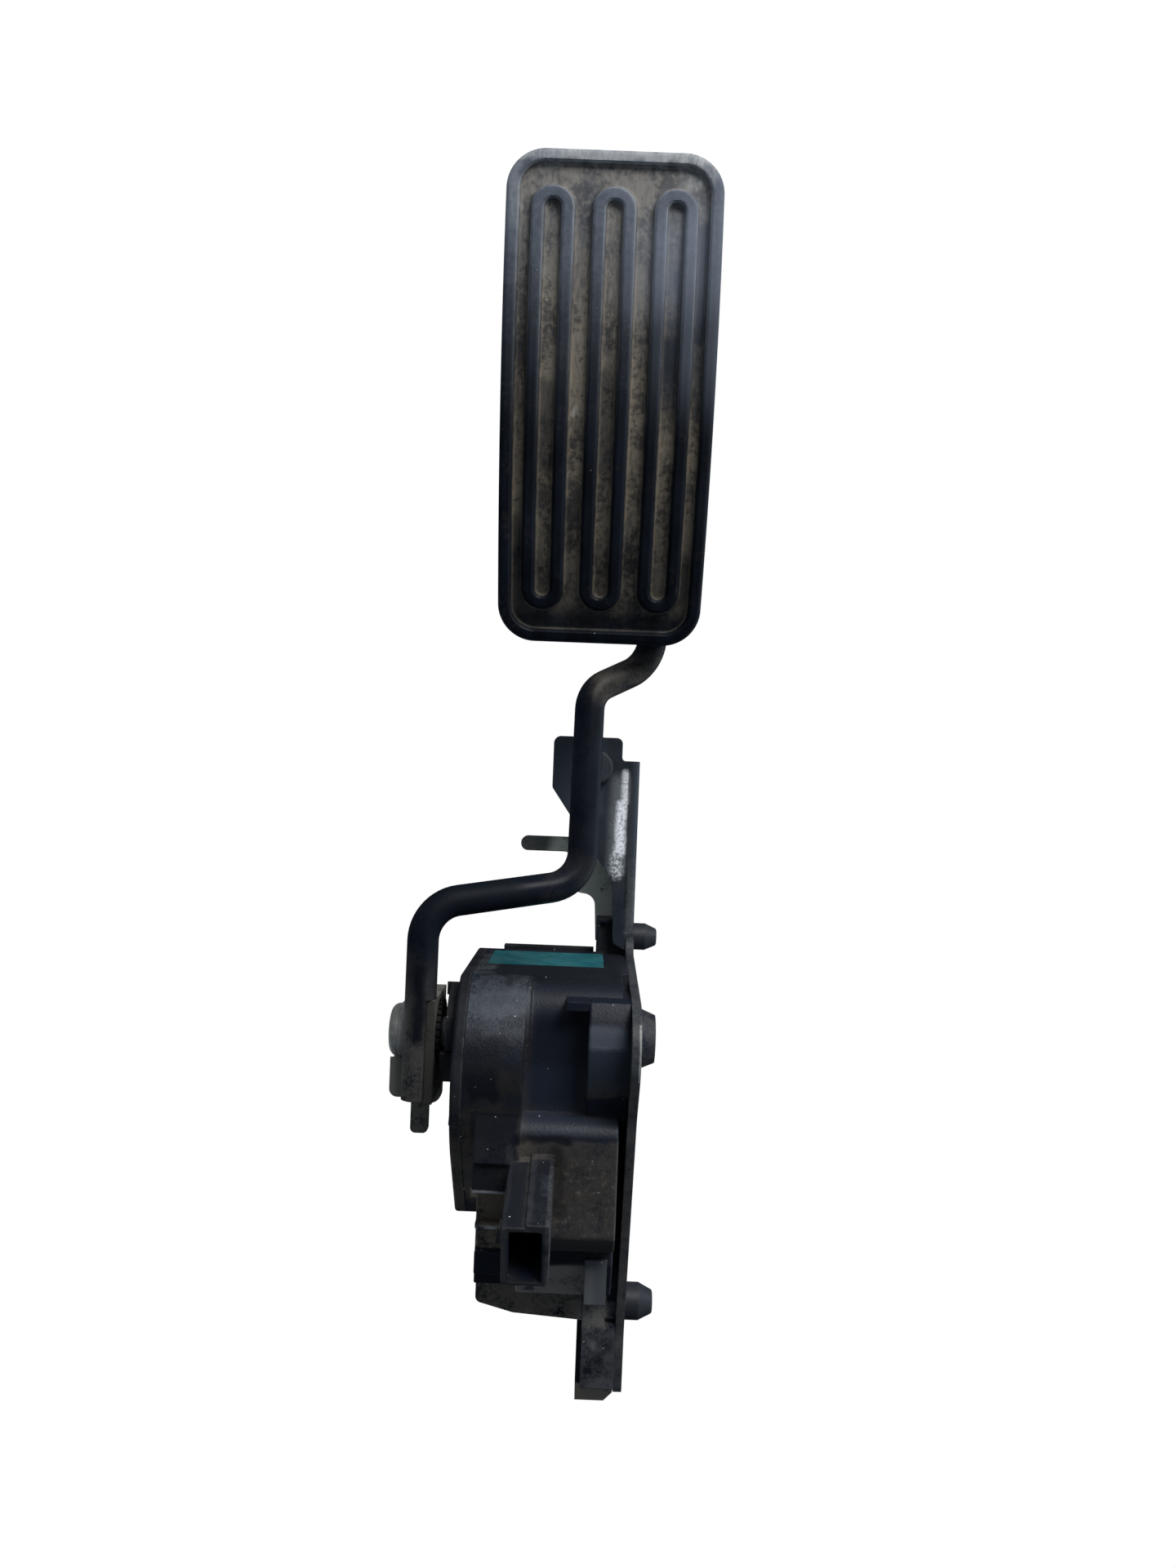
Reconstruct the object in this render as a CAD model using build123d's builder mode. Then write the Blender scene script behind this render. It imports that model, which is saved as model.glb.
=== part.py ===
from build123d import *
import os
from math import acos, asin, atan2, cos, hypot, radians, sin

os.makedirs("parts", exist_ok=True)

# Accelerator pedal in its place in the car: X along the pivot, Y away from the driver, Z up.
# The origin is where the pivot axis meets the outer face of the mounting plate.

# Mounting plate and its stop arm
plate_t = 2.6
plate_low_z = -15.0
plate_high_z = 109.4
plate_front_y = -33.5
plate_nose_z = 3.0
plate_knee = (-22.0, 18.0)
plate_brow = (7.0, 88.0)
plate_top_y = 32.0
plate_rear_y = 69.0
plate_rear_high_z = 74.0
plate_rear_low_z = -8.0
channel_front_y = 42.0
channel_rear_y = 58.2
channel_end_z = -82.0
bend_r = 4.0
bend_end_z = -25.5
flange_w = 7.0
flange_widen_z = -42.0
tab_w = 28.7
tab_inner_x = 6.0
tab_low_z = -89.5
tab_slant_z = -72.5
finger_tip_x = 39.0
finger_z = -53.2
finger_h = 5.0
rear_flange_w = 12.5
rear_flange_root_x = 21.5

# Bolt holes at the rear of the plate
bolt_hole_r = 4.3
bolt_y = 60.0
bolt_low_z = 4.0
bolt_pitch = 58.0

# Stop bumper
bumper_r = 5.6
bumper_x = 14.6
bumper_z = -79.5
bumper_h = 3.5
bumper_stem_r = 2.5
bumper_cap_h = 2.0

# Pedal arm: round rod
rod_r = 4.5
arm_bend_r = 11.5
neck_bend_r = 9.5
tail_x = -1.2
tail_w = 12.0
tail_t = 5.0
tail_from = 26.0
tail_to = 69.0
neck_low = (tail_x, 24.2, -112.4)
neck_high = (17.3, 14.0, -102.3)
elbow_in = (17.9, 7.5, -44.1)
elbow_out = (62.4, -8.6, -37.6)
arm_end = (62.4, -9.8, 17.5)

# Pad and its backing plate
pad_x = 15.7
pad_mid_y = -17.3
pad_mid_z = -179.9
pad_lean = 12.8
pad_face_r = 246.0
pad_w = 60.0
pad_len = 135.4
pad_corner_r = 11.0
rib_h = 2.2
rubber_t = 5.0
pad_plate_t = 2.0
lip_w = 3.0
rim_w = 4.0
ring_pitch = 17.0
ring_w = 12.6
ring_rib = 4.2
ring_len = 116.0

# Pivot shaft, lever bracket and rings
shaft_r = 4.2
shaft_inner_end_x = -2.6
running_gap = 0.03
lever_t = 2.4
lever_front_y = -12.0
lever_low_z = -11.0
lever_high_z = 18.5
lever_back_y = 15.0
lever_tab_w = 5.4
lever_tab_x = 64.4
lever_tab_z = 34.0
lever_web_z = 24.8
lug_x = 71.1
lug_low_z = 5.0
lug_gap = 0.2
lug_front_y = -5.0
lug_back_y = 5.0
washer_r = 8.3
washer_t = 2.0
head_r = 7.7
head_h = 2.9
tooth_ring_r = 9.6
tooth_ring_t = 1.3
tooth_count = 28
tooth_depth = 0.7

# Sensor housing
wall = 2.6
edge_round = 0.7
step_round = 0.5
face_z = -18.0
back_y = 50.0
drum_x0 = 31.9
drum_x1 = 48.4
cover_t = 3.2
drum_r = 32.0
drum_front_y = -24.5
drum_z = 11.0
skirt_y = 3.0
skirt_z = 54.0
box_front_y = -15.0
box_round_r = 11.0
box_x0 = 4.8
seat_front_y = 4.0
ledge_z = 18.5
nose_front_y = -22.0
nose_x1 = 32.6
nose_face_z = 51.0
ledge_round_r = 6.5
rear_block_x1 = 45.0
rear_block_front_y = 8.0
rear_block_z_left = 82.6
rear_block_z_right = 87.8
rear_knee_x = 33.6
rear_knee_z = 85.6
step_x1 = 44.6
boss_x1 = 14.2
boss_r = 25.0
boss_low_z = -13.8
rib_x1 = 20.6
rib_t = 2.5
slope_low_y = -10.0
slope_low_z = 63.0
slope_high_y = -2.0
slope_high_z = 75.0
step_front_y = -23.8
step_inset = 1.4
step_low_z = 17.4
step_mid_z = 31.0
step_high_z = 39.5
step_back_y = -5.0
step_end_z = 71.5
bead_front_y = -8.5
bead_z = 52.6
bead_h = 2.0
foot_front_y = -7.0
foot_z = 61.5
foot_h = 6.6
cover_edge_r = 1.0
cover_rib_count = 5
cover_rib_len = 13.0
cover_rib_w = 1.6
cover_rib_h = 1.0
cone_base_r = 9.1
cone_tip_r = 6.9
cone_tip_x = -5.3
hole_gap = 0.3

# Ears and locating pins
low_pin_r = 4.45
low_pin_y = 50.1
low_pin_z = -23.5
low_pin_tip_x = -7.8
high_pin_r = 5.4
high_pin_y = 14.5
high_pin_z = 83.3
high_pin_tip_x = -8.5
pin_taper = 0.61
pin_shoulder = 0.25
pin_round = 0.9
ear_x1 = 14.0
ear_face_x1 = 12.6
ear_front_y = 7.2
ear_mid_y = 14.0
ear_back_y = 27.0
ear_face_z = 107.0
ear_high_z = 113.9
ear_corner = 2.6
ear_slot_w = 3.2
ear_slot_h = 1.6
ear_slot_z = 86.5
ear_rib_x0 = 6.4
ear_rib_front_y = -11.5
ear_rib_z0 = 61.0
ear_rib_z1 = 73.6
ear_gap = 0.4
low_ear_x1 = 12.2
low_ear_z = -29.4
low_ear_rim = 1.1
low_ear_recess = 2.0

# Connector shroud
plug_x = 28.5
plug_w = 12.4
plug_h = 18.4
plug_side_wall = 1.9
plug_wall = 1.2
plug_len = 36.0
plug_tilt = 20.0
plug_rim_y = -48.3
plug_rim_z = 38.7
plug_depth = 18.0
key_w = 6.2
key_h = 0.9
latch_w = 2.2
latch_shift = -1.4
clip_w = 1.4
clip_h = 3.6
clip_up = 5.0
clip_back = 2.0
clip_len = 4.0
pin_count = 6
pin_pitch = 2.3
pin_w = 0.8
pin_len = 11.0
pin_seat = 2.0

# Pieces inside the housing
chamber_x0 = 16.0
chamber_low_z = 22.0
chamber_high_z = 60.0
chamber_front_y = -7.4
divider_t = 2.5
pocket_x0 = 16.6
pocket_front_y = 10.0
board_t = 1.6
board_gap = 1.4
board_x = 28.0
board_post_y = (0.0, 38.0)
board_post_z = (34.0, 54.0)
sensor_t = 1.3
sensor_w = 4.0
sensor_pitch = 6.0
hub_r = 8.2
hub_end_gap = 1.1
rotor_arm_t = 2.2
rotor_arm_w = 14.0
magnet_z = 27.0
magnet_r = 4.0
magnet_t = 2.8
rotor_gap = 0.6
stop_gap = 0.3
stop_h = 5.0
outer_coil_r = 12.6
outer_wire_r = 1.1
inner_coil_r = 9.8
inner_wire_r = 0.75
coil_turns = 2.5
coil_gap = 0.4
outer_pitch = 2.7
inner_pitch = 2.7
shaft_room = 0.5
bush_len = 10.0
bush_r = 6.2
collar_r = 14.4
collar_bore_r = 10.8
collar_len = 4.3
collar_short_len = 2.9
collar_slit = 0.9
collar_slit_z = 3.0
seal_t = 3.2
seal_gap = 0.35
rear_cover_t = 6.0
rear_cover_x0 = 13.0
rear_cover_x1 = 43.0
rear_cover_low_z = -18.9
rear_cover_high_z = 78.0
rear_bead_h = 1.0
rear_bead_w = 4.0
rear_bead_len = 54.0
rear_bead_pitch = 12.0
screw_r = 1.5
screw_head_r = 3.2
screw_head_h = 2.0
screw_len = 8.0
screw_places = ((20.0, -10.0), (20.0, 74.0), (38.0, 74.0))

# Label
label_x0 = 10.0
label_gap = 2.9
label_y0 = 14.5
label_y1 = 42.6
label_t = 0.15

# Derived places
from_base = (Align.CENTER, Align.CENTER, Align.MIN)
cover_x1 = drum_x1 + cover_t
hub_x1 = drum_x1 - hub_end_gap
lever_x0 = arm_end[0] - rod_r
lever_x1 = arm_end[0] + rod_r
rear_flange_y = channel_rear_y - plate_t
rib_front_y = -((boss_r**2 - boss_low_z**2) ** 0.5)
drum_y = drum_front_y + drum_r
skirt_reach = hypot(drum_y - skirt_y, skirt_z - drum_z)
skirt_turn = atan2(drum_y - skirt_y, skirt_z - drum_z) + acos(drum_r / skirt_reach)
skirt_start = (drum_y - drum_r * sin(skirt_turn), drum_z + drum_r * cos(skirt_turn))
pad_axis_y = pad_mid_y + pad_face_r * cos(radians(pad_lean))
pad_axis_z = pad_mid_z - pad_face_r * sin(radians(pad_lean))
pad_out = (0, -cos(radians(pad_lean)), sin(radians(pad_lean)))
pad_plane = Plane(origin=(pad_x, pad_axis_y, pad_axis_z), x_dir=(1, 0, 0), z_dir=pad_out)
pad_axis = Location((pad_x, pad_axis_y, pad_axis_z), (0, 90, 0))
floor_r = pad_face_r - rib_h
seat_r = pad_face_r - rubber_t
plate_back_r = seat_r - pad_plate_t
tail_r = plate_back_r - rod_r
pad_floor_plane = pad_plane.offset(pad_face_r - 60)
tail_turn = radians(pad_lean) + asin((tail_from + tail_to) / 2 / tail_r)
tail_point = (tail_x, pad_axis_y - tail_r * cos(tail_turn), pad_axis_z + tail_r * sin(tail_turn))
plug_dir = (0, -cos(radians(plug_tilt)), sin(radians(plug_tilt)))
plug_up = Vector(0, -sin(radians(plug_tilt)), -cos(radians(plug_tilt)))
plug_rim = Vector(plug_x, plug_rim_y, plug_rim_z) - plug_up * (plug_h / 2)
plug_plane = Plane(origin=plug_rim, x_dir=(1, 0, 0), z_dir=plug_dir)
rotor_x0 = drum_x0 + divider_t + rotor_gap
rotor_arm_x1 = rotor_x0 + rotor_arm_t
outer_coil_x = rotor_arm_x1 + coil_gap + outer_wire_r
inner_coil_x = rotor_arm_x1 + coil_gap + inner_wire_r

# Outline of the drum seen along the pivot, shared by the housing and its cover
with BuildSketch() as drum_outline:
    with Locations((drum_y, drum_z)):
        Circle(drum_r)
    with BuildLine():
        Polyline(
            (drum_y, face_z),
            (back_y, face_z),
            (back_y, skirt_z),
            (skirt_y, skirt_z),
            skirt_start,
            close=True,
        )
    make_face()
    with Locations((drum_y, face_z)):
        Rectangle(4 * drum_r, drum_r, align=(Align.CENTER, Align.MAX), mode=Mode.SUBTRACT)
    corners = [v for v in drum_outline.vertices() if v.Z < 1 and (v.Y < face_z + 1 or v.Y > skirt_z - 1)]
    fillet(corners, radius=2.5)

with BuildSketch() as drum_room:
    add(drum_outline.sketch)
    offset(amount=-wall, mode=Mode.REPLACE)

# Rubber pad: rim and three racetrack rings stand on a bowed floor
with BuildPart() as pad_ribs:
    with BuildSketch(pad_floor_plane):
        RectangleRounded(pad_w, pad_len, pad_corner_r)
        RectangleRounded(pad_w - 2 * rim_w, pad_len - 2 * rim_w, pad_corner_r - rim_w, mode=Mode.SUBTRACT)
        with GridLocations(ring_pitch, 0, 3, 1):
            SlotOverall(ring_len, ring_w, rotation=90)
            SlotOverall(ring_len - 2 * ring_rib, ring_w - 2 * ring_rib, rotation=90, mode=Mode.SUBTRACT)
    extrude(amount=90)
    with Locations(pad_axis):
        Cylinder(pad_face_r, 2 * pad_w, mode=Mode.INTERSECT)

with BuildPart() as plate_blank:
    with BuildSketch(pad_floor_plane):
        RectangleRounded(pad_w - 2 * lip_w, pad_len - 2 * lip_w, pad_corner_r - lip_w)
    extrude(amount=90)
    with Locations(pad_axis):
        Cylinder(seat_r, 2 * pad_w, mode=Mode.INTERSECT)

with BuildPart() as pedal_pad:
    with BuildSketch(pad_floor_plane):
        RectangleRounded(pad_w, pad_len, pad_corner_r)
    extrude(amount=90)
    with Locations(pad_axis):
        Cylinder(floor_r, 2 * pad_w, mode=Mode.INTERSECT)
    add(pad_ribs.part)
    with Locations(pad_axis):
        Cylinder(plate_back_r, 2 * pad_w, mode=Mode.SUBTRACT)
    add(plate_blank.part, mode=Mode.SUBTRACT)
pedal_pad.part.label = "pedal_pad"
export_step(pedal_pad.part, "parts/pedal_pad.step")

# Bowed steel plate in the back of the pad
with BuildPart() as pad_plate:
    add(plate_blank.part)
    with Locations(pad_axis):
        Cylinder(plate_back_r, 2 * pad_w, mode=Mode.SUBTRACT)
pad_plate.part.label = "pad_plate"
export_step(pad_plate.part, "parts/pad_plate.step")

# Pedal arm: one bent rod whose flattened tail follows the back of the pad plate
with BuildPart() as pedal_arm:
    with BuildSketch(pad_floor_plane):
        with Locations((tail_x - pad_x, (tail_from + tail_to) / 2)):
            SlotOverall(tail_to - tail_from, tail_w, rotation=90)
    extrude(amount=90)
    with Locations(pad_axis):
        Cylinder(plate_back_r, 2 * pad_w, mode=Mode.INTERSECT)
    with Locations(pad_axis):
        Cylinder(plate_back_r - tail_t, 2 * pad_w, mode=Mode.SUBTRACT)
    with BuildLine() as arm_path:
        FilletPolyline(
            tail_point,
            neck_low,
            neck_high,
            elbow_in,
            elbow_out,
            arm_end,
            radius=[neck_bend_r, neck_bend_r, arm_bend_r, arm_bend_r],
        )
    with BuildSketch(Plane(origin=arm_path.line @ 0, z_dir=arm_path.line % 0)):
        Circle(rod_r)
    sweep(path=arm_path.line)
    with Locations((lever_x0, lever_front_y, lever_low_z)):
        Box(
            lever_t,
            4 * rod_r,
            arm_end[2] - lever_low_z + rod_r,
            align=(Align.MIN, Align.CENTER, Align.MIN),
            mode=Mode.SUBTRACT,
        )
pedal_arm.part.label = "pedal_arm"
export_step(pedal_arm.part, "parts/pedal_arm.step")

# Lever bracket: a channel behind the end of the rod, one side on a flat of it, with a stop tab and a lug
with BuildPart() as lever_bracket:
    with BuildSketch(Plane.XY.offset(lever_low_z)):
        with Locations((lever_x0, lever_front_y)):
            Rectangle(lever_t, lever_back_y - lever_front_y, align=(Align.MIN, Align.MIN))
        with Locations((lever_x1, arm_end[1] + rod_r / 2)):
            Rectangle(lever_t, lever_back_y - arm_end[1] - rod_r / 2, align=(Align.MAX, Align.MIN))
        with Locations((lever_x0, lever_back_y)):
            Rectangle(lever_x1 - lever_x0, lever_t, align=(Align.MIN, Align.MAX))
    extrude(amount=lever_high_z - lever_low_z)
    with BuildSketch(Plane.XZ.offset(-lever_back_y)):
        with BuildLine():
            FilletPolyline(
                (lever_x0, lever_low_z),
                (lever_x0, lever_web_z),
                (lever_tab_x - lever_tab_w / 2, lever_web_z),
                (lever_tab_x - lever_tab_w / 2, lever_tab_z),
                (lever_tab_x + lever_tab_w / 2, lever_tab_z),
                (lever_tab_x + lever_tab_w / 2, lever_low_z),
                radius=[0, 3.6, 0.6, 1.6, 1.6, 0],
                close=True,
            )
        make_face()
    extrude(amount=lever_t)
    with Locations((lever_x1, lug_front_y, lug_low_z)):
        Box(lug_x - lever_x1, lug_back_y - lug_front_y, lever_high_z - lug_low_z, align=Align.MIN)
    fillet(lever_bracket.edges().filter_by(Axis.Y).group_by(Axis.X)[-1], radius=2.4)
    with Locations(Location((lever_x0, 0, 0), (0, 90, 0))):
        Cylinder(shaft_r, 4 * (lever_x1 - lever_x0), mode=Mode.SUBTRACT)
    with Locations(Location((lever_x1, 0, 0), (0, 90, 0))):
        Cylinder(washer_r + lug_gap, lug_x - lever_x1, align=from_base, mode=Mode.SUBTRACT)
    add(pedal_arm.part, mode=Mode.SUBTRACT)
lever_bracket.part.label = "lever_bracket"
export_step(lever_bracket.part, "parts/lever_bracket.step")

# Pivot shaft with its domed head
with BuildPart() as pivot_shaft:
    with Locations(Location((shaft_inner_end_x, 0, 0), (0, 90, 0))):
        Cylinder(shaft_r, lever_x1 + washer_t - shaft_inner_end_x, align=from_base)
    with Locations(Location((lever_x1 + washer_t, 0, 0), (0, 90, 0))):
        Cylinder(head_r, head_h, align=from_base)
    fillet(pivot_shaft.edges().group_by(Axis.X)[-1], radius=head_h - 0.4)
pivot_shaft.part.label = "pivot_shaft"
export_step(pivot_shaft.part, "parts/pivot_shaft.step")

# Washer under the head
with BuildPart() as pivot_washer:
    with BuildSketch(Plane.YZ.offset(lever_x1)):
        Circle(washer_r)
        Circle(shaft_r, mode=Mode.SUBTRACT)
    extrude(amount=washer_t)
    fillet(pivot_washer.edges().group_by(Axis.X)[-1].sort_by(SortBy.RADIUS)[-1], radius=0.6)
pivot_washer.part.label = "pivot_washer"
export_step(pivot_washer.part, "parts/pivot_washer.step")

# Toothed ring between the lever bracket and the collar
with BuildPart() as toothed_ring:
    with BuildSketch(Plane.YZ.offset(lever_x0 - tooth_ring_t)):
        Circle(tooth_ring_r)
        with PolarLocations(tooth_ring_r, tooth_count):
            Rectangle(2 * tooth_depth, tooth_depth, mode=Mode.SUBTRACT)
        Circle(shaft_r, mode=Mode.SUBTRACT)
    extrude(amount=tooth_ring_t)
toothed_ring.part.label = "toothed_ring"
export_step(toothed_ring.part, "parts/toothed_ring.step")

# Mounting plate: flat pressing with a channel-shaped arm, a stop tab and a cable finger
with BuildPart() as mounting_plate:
    with BuildSketch(Plane.YZ):
        with BuildLine():
            FilletPolyline(
                (channel_front_y, channel_end_z),
                (channel_front_y, plate_low_z - 4),
                (plate_front_y, plate_low_z + 2),
                (plate_front_y, plate_nose_z),
                plate_knee,
                plate_brow,
                (plate_brow[0] + 1.6, plate_high_z),
                (plate_top_y, plate_high_z),
                (plate_rear_y, plate_rear_high_z),
                (plate_rear_y, plate_rear_low_z),
                (channel_rear_y, plate_low_z - 4),
                (channel_rear_y, channel_end_z),
                radius=[2, 6, 13, 8, 12, 12, 3, 8, 9, 9, 8, 2],
                close=True,
            )
        make_face()
    extrude(amount=plate_t)
    with BuildSketch(Plane.XZ.offset(-channel_front_y - plate_t)):
        with BuildLine():
            FilletPolyline(
                (0, plate_low_z - 3),
                (flange_w, plate_low_z - 7),
                (flange_w + 0.6, flange_widen_z),
                (tab_w, tab_slant_z),
                (tab_w, tab_low_z),
                (tab_inner_x, tab_low_z),
                (tab_inner_x, channel_end_z),
                (0, channel_end_z),
                radius=[0, 2, 12, 2, 2.4, 2, 1.2, 0],
                close=True,
            )
        make_face()
    extrude(amount=plate_t)
    with BuildSketch(Plane.XZ.offset(-channel_rear_y)):
        with BuildLine():
            FilletPolyline(
                (0, plate_low_z - 6),
                (rear_flange_w, plate_low_z - 6),
                (rear_flange_w + 0.8, finger_z + 17),
                (rear_flange_root_x - 1, finger_z + 16),
                (rear_flange_root_x, finger_z + finger_h / 2),
                (finger_tip_x, finger_z + finger_h / 2),
                (finger_tip_x, finger_z - finger_h / 2),
                (rear_flange_root_x - 1, finger_z - finger_h / 2),
                (rear_flange_w, channel_end_z + 8),
                (0, channel_end_z + 2),
                radius=[0, 0, 4, 3, 3, 2.4, 2.4, 3, 5, 0],
                close=True,
            )
        make_face()
    extrude(amount=plate_t)
    with BuildSketch(Plane.XY.offset(channel_end_z)):
        with Locations((0, channel_front_y), (0, channel_rear_y)):
            Rectangle(2 * bend_r, 2 * bend_r)
        with Locations((bend_r, channel_front_y + bend_r), (bend_r, channel_rear_y - bend_r)):
            Circle(bend_r, mode=Mode.SUBTRACT)
    extrude(amount=bend_end_z - channel_end_z, mode=Mode.SUBTRACT)
    with BuildSketch(Plane.YZ):
        with Locations((0, 0)):
            Circle(cone_base_r + hole_gap)
        with Locations((low_pin_y, low_pin_z)):
            Circle(low_pin_r + pin_shoulder + hole_gap)
        with Locations((high_pin_y, high_pin_z)):
            Circle(high_pin_r + pin_shoulder + hole_gap)
        with Locations((bolt_y, bolt_low_z), (bolt_y, bolt_low_z + bolt_pitch)):
            Circle(bolt_hole_r)
    extrude(amount=plate_t, mode=Mode.SUBTRACT)
    with Locations(Location((bumper_x, channel_front_y, bumper_z), (-90, 0, 0))):
        Cylinder(bumper_stem_r, 4 * plate_t, mode=Mode.SUBTRACT)
mounting_plate.part.label = "mounting_plate"
export_step(mounting_plate.part, "parts/mounting_plate.step")

# Rubber bumper plugged into the stop tab
with BuildPart() as stop_bumper:
    with Locations(Location((bumper_x, channel_front_y, bumper_z), (90, 0, 0))):
        Cylinder(bumper_r, bumper_h, align=from_base)
    fillet(stop_bumper.edges().group_by(Axis.Y)[0], radius=1.0)
    with Locations(Location((bumper_x, channel_front_y, bumper_z), (-90, 0, 0))):
        Cylinder(bumper_stem_r, plate_t, align=from_base)
    with Locations(Location((bumper_x, channel_front_y + plate_t, bumper_z), (-90, 0, 0))):
        Cylinder(bumper_stem_r + 1.2, bumper_cap_h, align=from_base)
stop_bumper.part.label = "stop_bumper"
export_step(stop_bumper.part, "parts/stop_bumper.step")

# Forms of the housing that are rounded before they are joined: nose, rear block, steps, boss and connector
with BuildPart() as nose_form:
    with BuildSketch(Plane.YZ.offset(box_x0)):
        with BuildLine():
            FilletPolyline(
                (nose_front_y, ledge_z),
                (back_y, ledge_z),
                (back_y, slope_high_z),
                (slope_high_y, slope_high_z),
                (slope_low_y, slope_low_z),
                (slope_low_y, slope_low_z - 5),
                (nose_front_y + 4, nose_face_z + 5),
                (nose_front_y, nose_face_z),
                radius=[ledge_round_r, 0, 0, 1, 2, 1, 2, 2],
                close=True,
            )
        make_face()
    extrude(amount=nose_x1 - box_x0)
    fillet(nose_form.edges().group_by(Axis.X)[-1], radius=edge_round)
    fillet(nose_form.edges().group_by(Axis.X)[0], radius=edge_round)

with BuildPart() as rear_form:
    with BuildSketch(Plane.XZ.offset(-back_y)):
        with BuildLine():
            FilletPolyline(
                (plate_t, skirt_z - wall),
                (rear_block_x1, skirt_z - wall),
                (rear_block_x1, rear_block_z_left),
                (rear_knee_x, rear_knee_z),
                (plate_t, rear_block_z_right),
                radius=[0, 0, 2, 6, 0],
                close=True,
            )
        make_face()
    extrude(amount=back_y - rear_block_front_y)
    fillet(rear_form.edges().group_by(Axis.Y)[0], radius=edge_round)

with BuildPart() as step_form:
    with BuildSketch(Plane.YZ.offset(drum_x0)):
        with Locations((step_front_y, step_low_z)):
            Rectangle(drum_y - step_front_y, step_mid_z - step_low_z, align=Align.MIN)
        with Locations((step_front_y + step_inset, step_mid_z)):
            Rectangle(drum_y - step_front_y - step_inset, step_high_z - step_mid_z, align=Align.MIN)
        with Locations((step_back_y, step_high_z)):
            Rectangle(drum_y - step_back_y, step_end_z - step_high_z, align=Align.MIN)
        with Locations((bead_front_y, bead_z)):
            Rectangle(drum_y - bead_front_y, bead_h, align=Align.MIN)
        with Locations((foot_front_y, foot_z)):
            Rectangle(drum_y - foot_front_y, foot_h, align=Align.MIN)
    extrude(amount=step_x1 - drum_x0)
    step_edges = step_form.edges().filter_by(Axis.X) + step_form.edges().group_by(Axis.X)[-1]
    fillet(step_edges, radius=step_round)

with BuildPart() as boss_form:
    with BuildSketch(Plane.YZ.offset(plate_t)):
        Circle(boss_r)
        with Locations((0, boss_low_z)):
            Rectangle(4 * boss_r, 2 * boss_r, align=(Align.CENTER, Align.MAX), mode=Mode.SUBTRACT)
    extrude(amount=boss_x1 - plate_t)
    fillet(boss_form.edges().group_by(Axis.X)[-1], radius=edge_round)

with BuildPart() as plug_form:
    with BuildSketch(plug_plane):
        RectangleRounded(plug_w, plug_h, 1.6)
        with Locations((key_w / 2 - plug_w / 2, -plug_h / 2)):
            Rectangle(key_w, 2 * key_h)
    extrude(amount=-plug_len)
    fillet(plug_form.faces().sort_by(Axis(plug_rim, plug_dir))[-1].edges(), radius=edge_round / 2)

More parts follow.
